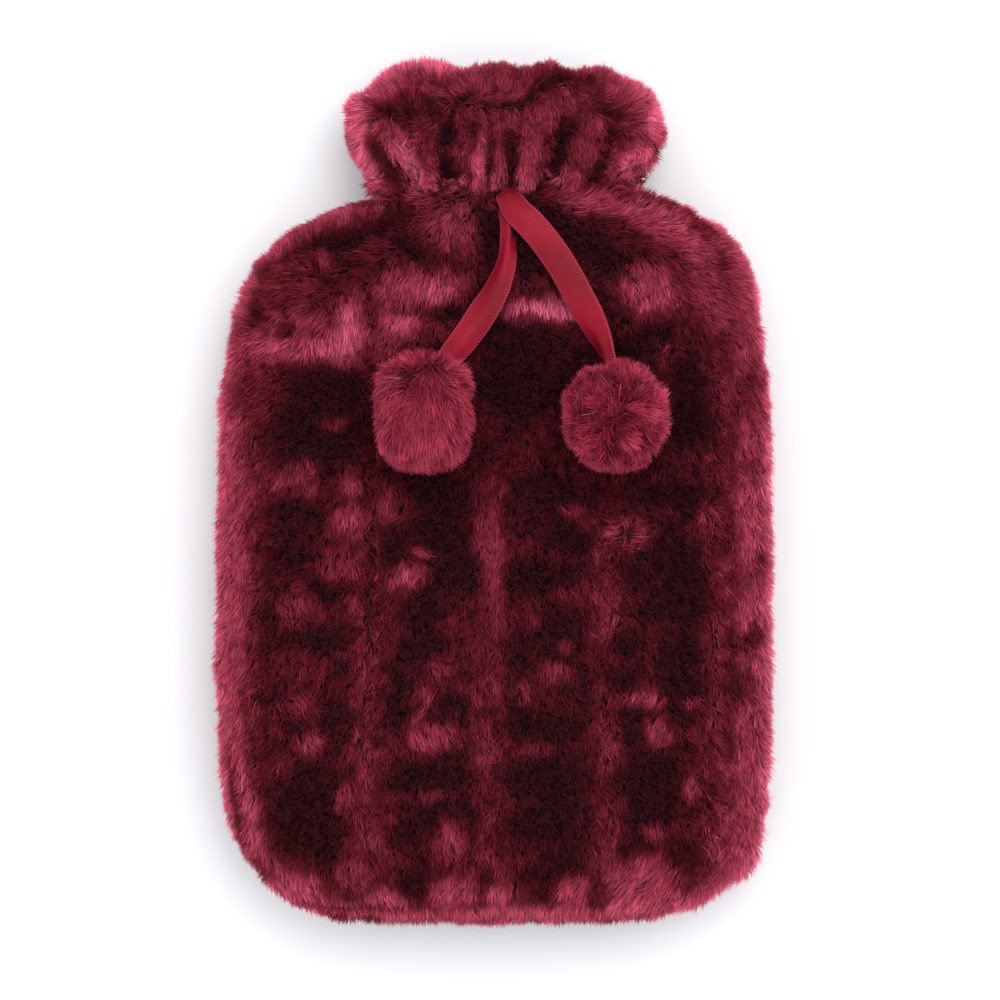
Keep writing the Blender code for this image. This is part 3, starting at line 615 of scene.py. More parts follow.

# Where the pile lies over: the middle of each place and its half-sizes along and across, how
# far its pile leans, from 0 for upright to 100 for nearly flat, how the place is turned, and
# which way its pile points in degrees from +X, which is down the cover unless it says so.
# As the colour follows the lean, each lean also paints shade (low) or a highlight (high) on the
# pile.
Laid = namedtuple("Laid", "x y long wide lean turned way", defaults=(0, -90))
LAID = listed(
    Laid, 4,
    # the left edge
    (-1086, -277, 881, 62, 70, 90, -95),
    # the left shoulder
    (-590, 1035, 98, 33, 0, 20), (-730, 1011, 82, 33, 2, 15), (-836, 978, 74, 33, 5, 40),
    (-943, 851, 90, 37, 10, 65), (-976, 707, 57, 33, 12, 80), (-455, 1179, 103, 33, 60, 25, 110),
    (-681, 1109, 143, 37, 70, 25, 115), (-886, 1002, 123, 37, 70, 42, 130),
    (-1029, 789, 139, 41, 70, 70, 155), (-804, 851, 156, 90, 42, 20, -140),
    (-697, 945, 37, 33, 75, 0, 100), (-804, 687, 123, 57, 60, 0, -110),
    (-730, 580, 131, 45, 92, 5, -60), (-898, 584, 98, 49, 82, 0, -130),
    (-599, 629, 135, 70, 100, 80, -80), (-849, 654, 29, 25, 10), (-959, 724, 33, 29, 8),
    # the middle gather
    (-172, 1105, 148, 119, 68, 85, -80), (-406, 1121, 103, 37, 0, 38),
    (-369, 1002, 98, 16, 10, -25), (-299, 826, 201, 70, 68, 5, -95),
    (-254, 802, 70, 41, 90, 0, -95), (-189, 732, 90, 29, 5), (-373, 670, 103, 57, 96, -15, -100),
    (-443, 605, 66, 57, 55, 0, -95), (-226, 654, 115, 37, 42, 0, -80), (-29, 1031, 111, 37, 0, 90),
    (115, 974, 107, 62, 2, -70),
    # the ledges over the bottle's shoulders
    (180, 838, 131, 37, 40), (205, 720, 172, 41, 120), (221, 674, 139, 25, 35),
    (611, 822, 131, 94, 70, 0, -100), (631, 765, 98, 33, 74, 0, -95), (644, 658, 111, 29, 0),
    (549, 551, 66, 57, 5), (730, 568, 107, 66, 50, 20, -120),
    # the right shoulder
    (373, 994, 98, 53, 0, -35), (467, 937, 49, 33, 2), (361, 1166, 156, 57, 72, -12, -45),
    (652, 1146, 107, 33, 85, -20, -20), (590, 1109, 164, 66, 62, -18, -25),
    (988, 986, 164, 53, 62, -50, -30), (738, 1035, 172, 78, 68, -38, -45),
    (836, 1101, 139, 8, 20, -40), (935, 904, 98, 8, 20, -70), (898, 769, 185, 123, 55, -60, -55),
    # the first rib
    (-722, 248, 205, 131, 2), (-660, 420, 148, 90, 5), (-652, 281, 62, 25, 50, 0, 90),
    (-968, 412, 123, 103, 40, 90, -100), (-812, 51, 107, 57, 55), (-738, 100, 25, 25, 77, 0, -60),
    (-890, 23, 25, 20, 71, 0, -100), (-746, 6, 25, 20, 71, 0, -70), (-590, 31, 49, 57, 58, 0, -100),
    (-578, 23, 25, 25, 80, 0, -80), (-599, -117, 66, 66, 71), (-832, -68, 98, 33, 8),
    (-832, -215, 90, 115, 16), (-812, -256, 49, 45, 4), (-623, -301, 98, 66, 55),
    (-685, -408, 53, 41, 5), (-820, -469, 90, 74, 59, 0, -60), (-574, -453, 37, 37, 58),
    (-771, -592, 123, 33, 10), (-693, -588, 45, 29, 2), (-627, -658, 41, 20, 64, 0, 90),
    (-935, -478, 33, 33, 12), (-804, -687, 123, 49, 40), (-927, -818, 37, 33, 10),
    (-795, -847, 78, 62, 59, 0, -40), (-644, -920, 107, 53, 10, 90),
    (-750, -1015, 49, 41, 74, 0, -60), (-894, -1035, 74, 41, 20), (-861, -1109, 37, 45, 50),
    (-754, -1134, 74, 49, 5), (-861, -1195, 98, 16, 0), (-779, -1343, 148, 131, 3),
    (-607, -1240, 57, 53, 61),
    # the second rib
    (-410, -31, 98, 74, 55), (-435, -84, 29, 25, 74), (-230, -6, 123, 90, 5),
    (-230, -158, 123, 53, 2), (-406, -228, 90, 45, 3, 90), (-287, -244, 66, 20, 64, -20, 0),
    (-299, -248, 20, 16, 80, 0, -30), (-361, -346, 74, 49, 71, 20, -110), (-373, -363, 29, 25, 83),
    (-197, -314, 66, 41, 5), (-303, -478, 94, 37, 12), (-295, -617, 94, 49, 3),
    (-238, -711, 45, 45, 61, 0, -60), (-389, -826, 131, 29, 8, 90), (-307, -818, 33, 37, 58),
    (-303, -888, 82, 14, 83, 56, -124), (-238, -990, 107, 53, 69, 0, -70), (-180, -838, 66, 33, 12),
    (-283, -1150, 164, 37, 5), (-185, -1134, 57, 25, 0), (-254, -1220, 74, 16, 61),
    (-230, -1302, 123, 53, 3), (-189, -1396, 90, 53, 57, 90), (-185, -1408, 33, 25, 70, 90),
    (-361, -1392, 74, 53, 10), (-500, -1417, 37, 29, 61), (-16, -277, 246, 62, 61, 90),
    # the third rib
    (123, 482, 189, 172, 3), (230, 6, 148, 66, 12), (303, -72, 49, 25, 58, 0, -60),
    (271, -187, 90, 57, 3), (135, -105, 41, 49, 20), (262, -273, 82, 20, 30),
    (226, -342, 123, 45, 5), (299, -416, 78, 29, 45), (139, -527, 25, 20, 58),
    (271, -556, 62, 37, 3), (275, -625, 33, 25, 77, 0, -80), (115, -662, 45, 33, 10),
    (242, -724, 66, 33, 61), (123, -810, 37, 37, 61, 0, -80), (180, -933, 148, 66, 4),
    (160, -1031, 70, 20, 58), (180, -1142, 164, 78, 5), (180, -1351, 148, 82, 4),
    (90, -1433, 62, 37, 25), (267, -1486, 82, 49, 3), (180, -1568, 74, 45, 8),
    # the fourth rib
    (783, 428, 156, 66, 3, 90), (795, 285, 98, 90, 0), (685, -10, 180, 53, 0),
    (623, 88, 115, 33, 20), (541, -121, 66, 37, 86, 0, 100), (541, -207, 66, 37, 86, 0, -80),
    (476, -162, 29, 41, 86, 0, 180), (607, -162, 29, 41, 86, 0, 0), (693, -125, 62, 41, 25),
    (750, -351, 180, 103, 3, 90), (779, -146, 12, 12, 64), (652, -445, 12, 12, 64),
    (582, -351, 62, 53, 12), (722, -469, 139, 33, 5), (582, -654, 78, 25, 32),
    (754, -666, 103, 94, 3, 90), (754, -781, 94, 45, 2), (594, -843, 82, 37, 72, 0, -110),
    (566, -834, 25, 20, 83, 0, -110), (787, -863, 45, 29, 50), (652, -978, 62, 57, 77, 30, -120),
    (771, -974, 41, 29, 40), (533, -974, 45, 57, 10), (631, -1199, 148, 123, 4, 90),
    (795, -1195, 53, 33, 74, 90), (787, -1179, 20, 20, 83), (824, -1273, 41, 20, 12),
    (631, -1376, 49, 29, 55), (545, -1441, 57, 45, 5), (754, -1449, 70, 57, 8),
    (1046, -588, 53, 29, 12, 20), (1082, -273, 29, 25, 20), (1050, 412, 57, 139, 42),
    (1050, 100, 49, 57, 50), (972, -769, 57, 66, 20), (1050, -810, 33, 49, 42),
    (500, -728, 74, 45, 6), (517, -597, 66, 57, 6),
    # the bottom rim
    (-537, -1695, 328, 37, 82, -6), (262, -1716, 410, 33, 72), (590, -1683, 180, 49, 82, 6, -110),
    (-992, -1417, 62, 49, 85, 90, -130), (-804, -1613, 135, 66, 75, -15), (-590, -1556, 62, 45, 50),
    (-443, -1650, 82, 37, 71), (-336, -1593, 57, 49, 3, 90), (-176, -1622, 107, 62, 66, 10, -120),
    (-37, -1564, 57, 33, 10, 90), (4, -1650, 49, 37, 71), (320, -1626, 74, 82, 64, 20, -120),
    (410, -1638, 62, 29, 10, 90), (594, -1593, 143, 111, 69, 0, -120),
    (763, -1687, 37, 29, 77, 90, -110),
    # the seam at the lower left
    (-1046, -1261, 205, 53, 80, -82, -100), (-1066, -1269, 213, 10, 3, -82),
    (-537, -1691, 287, 8, 12, -2),
    # the ruffle
    (-394, 1593, 139, 57, 36, -5, 90), (-66, 1634, 246, 53, 60, 0, 90),
    (119, 1708, 172, 41, 42, 0, 90), (16, 1531, 213, 37, 60), (426, 1589, 139, 98, 58, 0, 60),
    (307, 1597, 111, 82, 60, 0, -60), (221, 1535, 74, 82, 60, 0, -85), (-180, 1568, 74, 49, 56),
    (-435, 1634, 90, 33, 72, 10, 120), (394, 1478, 82, 49, 60, 0, -80), (49, 1470, 98, 37, 58),
    (-467, 1695, 156, 37, 88, 30, 120), (-238, 1740, 123, 25, 85, 0, 100),
    (-599, 1576, 139, 37, 85, 80, 160), (590, 1683, 115, 37, 72, -20, 60),
    (672, 1560, 139, 45, 85, 88, 20), (-545, 1404, 139, 45, 84, -66, -140),
    (-385, 1343, 156, 66, 105, -64, -60), (-451, 1339, 123, 18, 0, -56),
    (-201, 1314, 53, 29, 0, -70), (-205, 1445, 98, 20, 6, 78), (-139, 1404, 123, 33, 55, 85),
    (-66, 1355, 131, 25, 80, 84), (12, 1330, 98, 20, 66, 95), (-25, 1294, 62, 10, 0, 85),
    (62, 1351, 78, 16, 0, 92), (143, 1404, 131, 53, 60, 90), (271, 1388, 98, 25, 0, 66),
    (357, 1371, 123, 53, 52, 76), (443, 1298, 70, 27, 0, 60), (574, 1351, 139, 70, 110, 40, -140),
    (652, 1486, 37, 90, 95, 0, -20), (-164, 1257, 57, 29, 90, 0, 80),
    (-197, 1626, 107, 25, 62, 6, 160), (16, 1597, 123, 25, 60, 4, 25),
)
FLATTEST = 1.22  # radians from upright
REACHES = 0.0045  # how far from its roots flat pile shows
BRUSHED_OUT = (0.1045, -0.1510)  # the corner where the pile is longer
BRUSHED_SIZE, BRUSHED_LONGER = 0.0115, 0.45

# The folds of the ruffle hang over the tie: the middle of each, half its width, how far it
# comes down and how far it stands proud. The body's pile rises between two of them.
Hang = namedtuple("Hang", "x wide down proud")
HANGS = listed(
    Hang, 4,
    (-335, 58, 46, 70), (-45, 50, 38, 60), (140, 50, 12, 40), (330, 60, 16, 40), (475, 50, 34, 60),
)
RISES = listed(
    Hang, 4,
    (-170, 60, -34, 30), (235, 50, -16, 20),
)


def hung(face, up, row):
    """Moves the skin's points by the hanging folds, which fade out a third of the way up."""
    foot = (row >= TIE_ROW) * (1 - fade(up, 0.0, 0.35))
    below = (row < TIE_ROW) * fade(row, TIE_ROW - 3, TIE_ROW)
    for folds, share in ((HANGS, foot), (RISES, below)):
        for fold in folds:
            bell = np.exp(-(((face[:, 0] - fold.x) / fold.wide) ** 2)) * share
            face[:, 1] -= fold.down * bell
            face[:, 2] += fold.proud * bell
    return face


# Lines that the pile parts along or lies to both sides of: the sewn channels, and the
# rim seam where it shows. parted is how far it leans away from the line, down how far it
# leans down the cover, and wide half the width of the strip.
Parting = namedtuple("Parting", "x y end_x end_y wide parted down")
CHANNELS = listed(
    Parting, 5,
    (-1010, 560, -1010, -1560, 60, 0.3, 0.42), (-520, 600, -520, -680, 66, 0.5, 0.3),
    (-520, -600, -520, -1560, 66, 0.22, 0.46), (-25, 80, -25, -1560, 66, 0.1, 0.46),
    (450, 40, 450, -1560, 68, 0.3, 0.42), (900, 560, 900, -1560, 62, 0.4, 0.4),
)
SEAM_SHOWS = listed(
    Parting, 5,
    (-1100, -1060, -1035, -1480, 34, 0.65, 0.1), (-1035, -1480, -960, -1590, 34, 0.65, 0.1),
    (-880, -1640, -560, -1680, 32, 0.5, 0), (-560, -1680, 400, -1690, 32, 0.5, 0),
    (690, 1175, 840, 1050, 26, 0.66, 0.1), (840, 1050, 935, 920, 26, 0.66, 0.1),
    (935, 920, 970, 700, 26, 0.6, 0.1),
)


TURNS_WITHIN = 0.0009  # the distance from a parting that the pile needs to change sides


def leaned_from(x, y, line, soft=0.0022):
    """How strongly a parting acts, and the lean that it gives, east and north.

    It acts along its line and fades softly past its ends. The lean away from the line is a
    hyperbolic tangent of the distance from it.
    """
    run = np.array((line.end_x - line.x, line.end_y - line.y))
    long = math.hypot(*run)
    ahead = ((x - line.x) * run[0] + (y - line.y) * run[1]) / long
    off = ((y - line.y) * run[0] - (x - line.x) * run[1]) / long
    share = np.exp(-(np.abs(off / line.wide) ** 3)) * fade(ahead, -soft, soft * 2)
    share = share * (1 - fade(ahead, long - soft, long + soft * 2))
    away = line.parted * np.tanh(off / TURNS_WITHIN)
    return share, np.stack((-away * run[1] / long, away * run[0] / long - line.down))


def heading(degrees):
    """The cosine and the sine of an angle."""
    return math.cos(math.radians(degrees)), math.sin(math.radians(degrees))


LEANS_ANYWHERE = 0.25
EDGE, RIM = (0.81, 0.89), (0.955, 0.985)  # shares of the way out where each begins
EDGE_IN, EDGE_DOWN = 0.26, 0.58  # how the pile near the seam is combed in and down
OVER_THE_SEAM = {1: 0.80, -1: 0.90}  # how far the last fibres turn out over it, by side
RUFFLE_OUT, RUFFLE_UP, RUFFLE_HANGS, RUFFLE_LEAST = 0.55, 0.45, 0.60, 0.44
HANGS_FOR, STANDS_FROM = 0.40, 0.45  # shares of the way up the ruffle
BLURRED_WHOLE = 0.0035  # marks less wide than this keep sharper outlines


def lie_of_pile(x, y, side, across, row, reaches):
    """The pile's lean, east and north, whose length goes from 0, upright, to 1, and its grain.

    It leans down the cover a little everywhere, and in and down near the seam, where the
    last fibres turn out over it. On the ruffle it hangs over the tie at its foot and stands
    up to the hem at its top. Partings and marks then take its place where they lie, their
    outlines blurred by small random hills. A mark acts as a bell curve of the fourth power
    of the distance from its middle. Marks are laid back by what the pile reaches, so that
    its tips show where they stand. The grain is 1 in the strips along the channels, where
    the pressed pile points all ways.
    """
    blur_x, blur_y = heaped(x, x, y, BLURS[0]), heaped(y, x, y, BLURS[1])
    amount, turn = heaped(LEANS_ANYWHERE, x, y, LEANS), heaped(0, x, y, TURNS)
    edge, rim = fade(np.abs(across), *EDGE), fade(np.abs(across), *RIM)
    lean = np.stack((
        amount * np.sin(turn) + (OVER_THE_SEAM[side] * rim - EDGE_IN * edge) * np.sign(across),
        -amount * np.cos(turn) * (1 - 0.5 * edge) - EDGE_DOWN * edge,
    ))
    grain = np.zeros_like(x)
    uneven = heaped(1, x, y, UNEVEN)
    for line in CHANNELS:
        share, to = leaned_from(2 * blur_x - x, 2 * blur_y - y, line, 0.0060)
        lean = lean * (1 - share) + share * to * uneven
        grain = np.maximum(grain, share)
    for line in SEAM_SHOWS if side > 0 else ():
        share, to = leaned_from(0.4 * blur_x + 0.6 * x, 0.4 * blur_y + 0.6 * y, line)
        lean = lean * (1 - share) + share * to
    up = np.clip((y - TIE_Y) / (MOUTH_Y - TIE_Y), 0, 1)
    ruffle = fade(row, TIE_ROW, TIE_ROW + 0.6)
    hangs = (1 - fade(up, 0.0, HANGS_FOR)) * (1 - fade(np.abs(across), 0.55, 0.85))
    to = np.stack((
        RUFFLE_OUT * across**3 + heaped(0, x, y, WILD[0]),
        RUFFLE_UP * fade(up, STANDS_FROM, 0.95) - RUFFLE_HANGS * hangs + heaped(0, x, y, WILD[1]),
    ))
    strong = np.maximum(RUFFLE_LEAST / np.maximum(np.hypot(*to), 0.05), 1)
    lean = lean * (1 - ruffle) + ruffle * to * strong
    for mark in LAID if side > 0 else ():
        cosine, sine = heading(mark.turned)
        to = mark.lean / 100 * np.array(heading(mark.way))[:, None]
        soft = min(1.0, mark.wide / BLURRED_WHOLE)
        off_x = x + soft * (blur_x - x) - mark.x + reaches * to[0]
        off_y = y + soft * (blur_y - y) - mark.y + reaches * to[1]
        u, v = off_x * cosine + off_y * sine, off_y * cosine - off_x * sine
        share = np.exp(-0.6 * ((u / mark.long) ** 2 + (v / mark.wide) ** 2) ** 2)
        lean = lean * (1 - share) + share * to
        grain = grain * (1 - share)
    return lean, grain


def tufts(s, t, pitch, seed):
    """The way from each root to the middle of its tuft, and three draws for that tuft.

    The middles stand one in each square of a grid, moved at random. Each root takes the
    nearest of the nine round it.
    """
    draws = np.random.default_rng(seed).uniform(0, 1, (512, 512, 5))
    p, q = np.floor(s / pitch).astype(int), np.floor(t / pitch).astype(int)
    nearest = np.full(s.shape, 9.0)
    to_s, to_t, mine = np.zeros_like(s), np.zeros_like(s), np.zeros((*s.shape, 3))
    for i in (-1, 0, 1):
        for j in (-1, 0, 1):
            draw = draws[(p + i) % 512, (q + j) % 512]
            ds = (p + i + draw[..., 0]) * pitch - s
            dt = (q + j + draw[..., 1]) * pitch - t
            far = np.hypot(ds, dt)
            closer = far < nearest
            nearest = np.where(closer, far, nearest)
            to_s, to_t = np.where(closer, ds, to_s), np.where(closer, dt, to_t)
            mine = np.where(closer[..., None], draw[..., 2:], mine)
    return to_s, to_t, mine


def blades(name, root, middle, tip, wide, facing, tone, lie):
    """Fibres as slim kites that bend at their widest: root, two middle points and tip.

    The middle points lie to both sides, square to the fibre and to the way it faces. Each
    fibre has a square of its own in the UV map, and the pile attribute holds its place along
    the fibre, its tone and how far it lies over.
    """
    count = len(root)
    sideways = unit(np.cross(tip - root, facing)) * wide[:, None] / 2
    points = np.stack((root, middle - sideways, middle + sideways, tip), axis=1)
    first = np.arange(count)[:, None] * 4
    faces = np.stack((first + (0, 2, 1), first + (1, 2, 3)), axis=1).reshape(-1, 3)
    mesh = mesh_of(name, points.reshape(-1, 3), faces)
    values = np.ones((count, 4, 4))
    values[:, :, 0] = (0.0, 0.5, 0.5, 1.0)
    values[:, :, 1], values[:, :, 2] = tone[:, None], lie[:, None]
    note(mesh, "pile", "FLOAT_COLOR", "color", values)
    cells = math.ceil(math.sqrt(count))
    corner = np.stack((np.arange(count) % cells, np.arange(count) // cells), axis=1)
    kite = np.array(((0.5, 0.06), (0.06, 0.5), (0.94, 0.5), (0.5, 0.94)))
    spots = (corner[:, None, :] + kite[None, [0, 2, 1, 1, 2, 3], :]) / cells
    lay_out(mesh, spots.reshape(-1, 2))
    return mesh


def pile_finish(name, *tones):
    """Dyed wine pile with painted light and shade: its colour goes from tones of painted shade for
    upright pile to tones of painted highlight for pile lying over.

    Painted shade darkens a fibre towards its root, where the pile around it shades it, and it
    takes its full colour in its upper half. Each one differs a little in brightness at random,
    the more so the further it lies over.
    """
    finish, start, shader = finish_of(
        name,
        Roughness=0.5,
        Specular_IOR_Level=0.28,
        Sheen_Weight=0.10,
        Sheen_Roughness=0.4,
        Sheen_Tint=(1.0, 0.30, 0.45, 1),
    )
    pile = start.lead("Attribute", {"attribute_name": "pile"})
    up, tone, lie = start.leads("SeparateColor", _0=pile)
    # Painted light and shade: upright pile gets the dark tones and pile lying over the bright ones.
    colour = start.lead("ValToRGB", {"stops": tones}, _0=lie)
    # Painted shade: each fibre darker towards its root, where the pile around it shades it.
    shaded = 1.0 - (1.0 - up.between(0.05, 0.90)) * (lie * 0.60 + 0.12)
    light = shaded * ((tone - 0.5) * (lie * 1.1 + 0.35) + 1.0)
    shade = start.lead("HueSaturation", _0=0.5, _1=1.0, _2=light, _4=colour)
    feed(shader, Base_Color=shade, Roughness=0.66 - lie * 0.20)
    return finish


# Tones from painted shade on upright pile, via the dyed wine red, to a painted highlight on laid
# pile.
wine_pile = pile_finish(
    "wine_pile",
    (0.00, (0.036, 0.0024, 0.0036, 1)),
    (0.25, (0.082, 0.0040, 0.0072, 1)),
    (0.55, (0.245, 0.0140, 0.0290, 1)),
    (0.80, (0.520, 0.0600, 0.1200, 1)),
    (1.00, (0.950, 0.1750, 0.3200, 1)),
)

Band = namedtuple("Band", "name side low high blades")
PILE_BANDS = (
    Band("pile_ruffle", 1, TIE_ROW, LAST_ROW, 62000),
    Band("pile_shoulders", 1, 11.2, TIE_ROW, 90000),
    Band("pile_middle", 1, 9.25, 11.2, 94000),
    Band("pile_bottom", 1, 0, 9.25, 96000),
    Band("pile_back", -1, 0, LAST_ROW, 50000),
)
TUFT_PITCH = 0.0026
TUFTS_APART = 0.44  # radians between the tufts that stand furthest apart
STRAY, STRAY_IN_CHANNELS = 0.16, 0.12  # radians that single fibres go astray
ON_BODY, ON_RUFFLE = -0.20, 0.50  # what slopes across add to the tilt, and more on the ruffle
STEEPEST, FURTHEST_OVER = 1.2, 1.40  # the steepest slope of a fold, and the lean at most
TRIM, HEM_TRIM, SHORTEST, LONGER_LAID = 0.96, 0.16, 0.0035, 0.15
PULL, PULL_LAID = 0.22, 0.50  # shares of the way to its tuft's middle, upright and laid over
LOWER_HALF, UPPER_HALF = (0.60, 0.52, 0.35), (1.20, 0.50, 0.65)  # turn, length and pull
FIBRE_WIDTHS = (0.00040, 0.00070)
FACES_ASTRAY = 0.85  # against the way it stands
TUFT_TONES, FIBRE_TONES = 0.40, 0.20
MIDDLE_OVER, TIP_OVER = 0.0006, 0.0004  # how near to the table they may come


def grow(band, seed):
    """Roots spread evenly over a band of a panel, and a bent fibre from each.

    Cells of the skin are taken in proportion to their area, sparser underneath, and a root
    lies anywhere in its cell, the pile's depth below the skin. The angle of a fibre is its
    lean, what the slopes of the folds add to that, its tuft's tilt and its own stray. Its
    lower half is turned by 0.6 of the angle and its upper half by 1.2 of it, and it is drawn
    to its tuft's middle. How far it lies over, which sets how light or shaded its colour is
    painted, is mostly what the marks say of the place where its tip shows.
    """
    draw = np.random.default_rng(seed)
    columns = 240
    rows = np.linspace(band.low, band.high, 230)
    angles = np.linspace(math.pi - 0.004, 0.004, columns)
    face, upright, across, depth = pile_shell(band.side, rows, angles)
    ahead = unit(np.gradient(face, axis=0))
    east = unit(np.cross(ahead, upright) * band.side)
    sunk = relief(face, band.side, across, depth)
    step_s = np.maximum(np.linalg.norm(np.gradient(face, axis=1), axis=-1), 1e-6)
    step_t = np.maximum(np.linalg.norm(np.gradient(face, axis=0), axis=-1), 1e-6)
    slope_s = np.clip(np.gradient(sunk, axis=1) / step_s, -STEEPEST, STEEPEST)
    slope_t = np.clip(np.gradient(sunk, axis=0) / step_t, -STEEPEST, STEEPEST)
    half = [columns // 2]
    run_s = np.cumsum(step_s, axis=1)
    run_s = run_s - run_s[:, half]
    run_t = np.broadcast_to(np.cumsum(step_t, axis=0)[:, half], run_s.shape)
    row_at = np.broadcast_to(rows[:, None], run_s.shape)
    numbers = np.stack((sunk, across, run_s, run_t, row_at, slope_s, slope_t), axis=-1)
    skin = np.concatenate((face, upright, east, ahead, numbers), axis=-1)
    size = cell_areas(face) * (0.25 + 0.75 * fade(face[:-1, :-1, 2], 0.001, 0.006))
    share = np.cumsum(size.ravel())
    picks = (np.arange(band.blades) + draw.uniform(0, 1, band.blades)) / band.blades * share[-1]
    cell = np.minimum(np.searchsorted(share, picks), share.size - 1)
    i, j = cell // size.shape[1], cell % size.shape[1]
    a, b = draw.uniform(0, 1, (2, band.blades, 1))
    at = (
        skin[i, j] * (1 - a) * (1 - b)
        + skin[i + 1, j] * a * (1 - b)
        + skin[i, j + 1] * (1 - a) * b
        + skin[i + 1, j + 1] * a * b
    )
    spot, normal, east, north = at[:, 0:3], unit(at[:, 3:6]), unit(at[:, 6:9]), unit(at[:, 9:12])
    sunk, sideways, s, t, row, slope_s, slope_t = at[:, 12:].T
    room = pile_room(row)
    if band.side > 0:
        spot = hung(spot, (spot[:, 1] - TIE_Y) / (MOUTH_Y - TIE_Y), row)
    root = spot + normal * (sunk * ROOTS_FOLLOW - room)[:, None]

    x, y = spot[:, :2].T
    lean, grain = lie_of_pile(x, y, band.side, sideways, row, REACHES)
    to_s, to_t, tuft = tufts(s, t, TUFT_PITCH, seed + 1)
    stray = draw.normal(0, 1, (2, band.blades)) * (STRAY + STRAY_IN_CHANNELS * grain)
    opens = ON_BODY + ON_RUFFLE * fade(row, TIE_ROW, TIE_ROW + 1)  # pleats keep their gaps open
    tilt_x = lean[0] * FLATTEST + opens * slope_s + stray[0] + TUFTS_APART * (tuft[:, 1] - 0.5)
    tilt_y = lean[1] * FLATTEST + ON_BODY * slope_t + stray[1] + TUFTS_APART * (tuft[:, 2] - 0.5)
    angle = np.hypot(tilt_x, tilt_y)
    way = (east * tilt_x[:, None] + north * tilt_y[:, None]) / np.maximum(angle, 1e-6)[:, None]
    angle = np.minimum(angle, FURTHEST_OVER)
    trimmed = heaped(TRIM - HEM_TRIM * fade(row, LAST_ROW - 3, LAST_ROW - 1), x, y, TRIMMINGS)
    far = np.hypot(x - BRUSHED_OUT[0], y - BRUSHED_OUT[1]) / BRUSHED_SIZE
    trimmed = trimmed + BRUSHED_LONGER * np.exp(-far**2)
    length = np.maximum(room + sunk * (1 - ROOTS_FOLLOW), SHORTEST)
    length = length * (1 + LONGER_LAID * angle) * trimmed
    length = length * (0.90 + 0.20 * tuft[:, 0]) * draw.uniform(0.90, 1.10, band.blades)
    pull = (PULL + PULL_LAID * np.sin(angle))[:, None]
    pull = (east * to_s[:, None] + north * to_t[:, None]) * pull

    def onward(start, turn, reach, pulled):
        """The end of a half fibre from there, by its shares of the angle, length and pull."""
        ahead = normal * np.cos(angle * turn)[:, None] + way * np.sin(angle * turn)[:, None]
        return start + ahead * (length * reach)[:, None] + pull * pulled

    middle = onward(root, *LOWER_HALF)
    tip = onward(middle, *UPPER_HALF)
    middle[:, 2] = np.maximum(middle[:, 2], MIDDLE_OVER)
    tip[:, 2] = np.maximum(tip[:, 2], TIP_OVER)
    facing = normal + unit(draw.normal(0, 1, (band.blades, 3))) * FACES_ASTRAY
    wide = draw.uniform(*FIBRE_WIDTHS, band.blades)
    tone = 0.5 + (tuft[:, 0] - 0.5) * TUFT_TONES + draw.normal(0, FIBRE_TONES, band.blades)
    # Painted light and shade: lie paints upright pile dark and laid pile bright, by the marks at
    # its tip.
    shown = middle * 0.35 + tip * 0.65
    lean, _ = lie_of_pile(*shown[:, :2].T, band.side, sideways, row, 0)
    field = 0.10 + 0.90 * np.sin(np.minimum(np.hypot(*lean), 1.2) * FLATTEST)
    over = np.hypot(*(tip - root)[:, :2].T) / np.linalg.norm(tip - root, axis=1)
    lie = np.clip(0.30 * over + 0.70 * field, 0, 1)
    mesh = blades(band.name, root, middle, tip, wide, facing, np.clip(tone, 0, 1), lie)
    tufted = put(band.name, mesh, wine_pile)
    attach(tufted, "root")
    return tufted


piles = {band.name: grow(band, 40 + 7 * n) for n, band in enumerate(PILE_BANDS)}
for name, side in (("front_panel", 1), ("back_panel", -1)):
    cloth, area = panels[name]
    [piles[band.name] for band in PILE_BANDS if band.side == side]

# ---- The pompoms -------------------------------------------------------------------------
# Balls of the same pile, trimmed short and gathered on the ribbon's ends. The left one has
# been combed downwards into a thimble, and the right one is round.

Pompom = namedtuple("Pompom", "x y z wide long high side square combed locks unruly seed")
POMPOMS = listed(
    Pompom, 6,
    (-284, 322, 715, 202, 245, 195, "left", 3.0, 0.50, 320, 0.12, 4),
    (474, 300, 710, 224, 231, 205, "right", 2.1, 0.0, 280, 0.15, 9),
)
POMPOM_FIBRES = 27000
POMPOM_CORE = 0.68  # of its half-size
POMPOM_FIBRE_WIDTHS = (0.00045, 0.00075)
END_OWN, END_LOCK = 0.62, 0.38  # shares of a fibre's own direction and its lock's
MIDDLE_OWN, MIDDLE_LOCK, MIDDLE_MOVED, MIDDLE_OUT = 0.80, 0.20, 0.4, 0.80

# Painted light and shade here too: fibres that lie across are brighter than those that stand up.
pompom_pile = pile_finish(
    "pompom_pile",
    (0.00, (0.210, 0.0100, 0.0250, 1)),
    (0.50, (0.290, 0.0150, 0.0390, 1)),
    (1.00, (0.420, 0.0300, 0.0720, 1)),
)


def round_box(ways, shape, reach):
    """The points in these directions that lie this share of the way out to a pompom's face.

    The face is a superellipsoid: where the sum of |x/wide|^n, |y/long|^n and |z/high|^n is 1,
    with n the squareness. At 2 it is round, and more is a rounded box.
    """
    half = np.array((shape.wide, shape.long, shape.high))
    size = (np.abs(ways / half) ** shape.square).sum(axis=-1, keepdims=True)
    return np.array((shape.x, shape.y, shape.z)) + ways / size ** (1 / shape.square) * reach


def spread_ways(count):
    """Directions spread evenly over a ball, along a spiral that turns by the golden angle."""
    n = np.arange(count) + 0.5
    z = 1 - 2 * n / count
    turn = n * math.pi * (3 - math.sqrt(5))
    flat = np.sqrt(1 - z * z)
    return np.stack((flat * np.cos(turn), flat * np.sin(turn), z), axis=1)


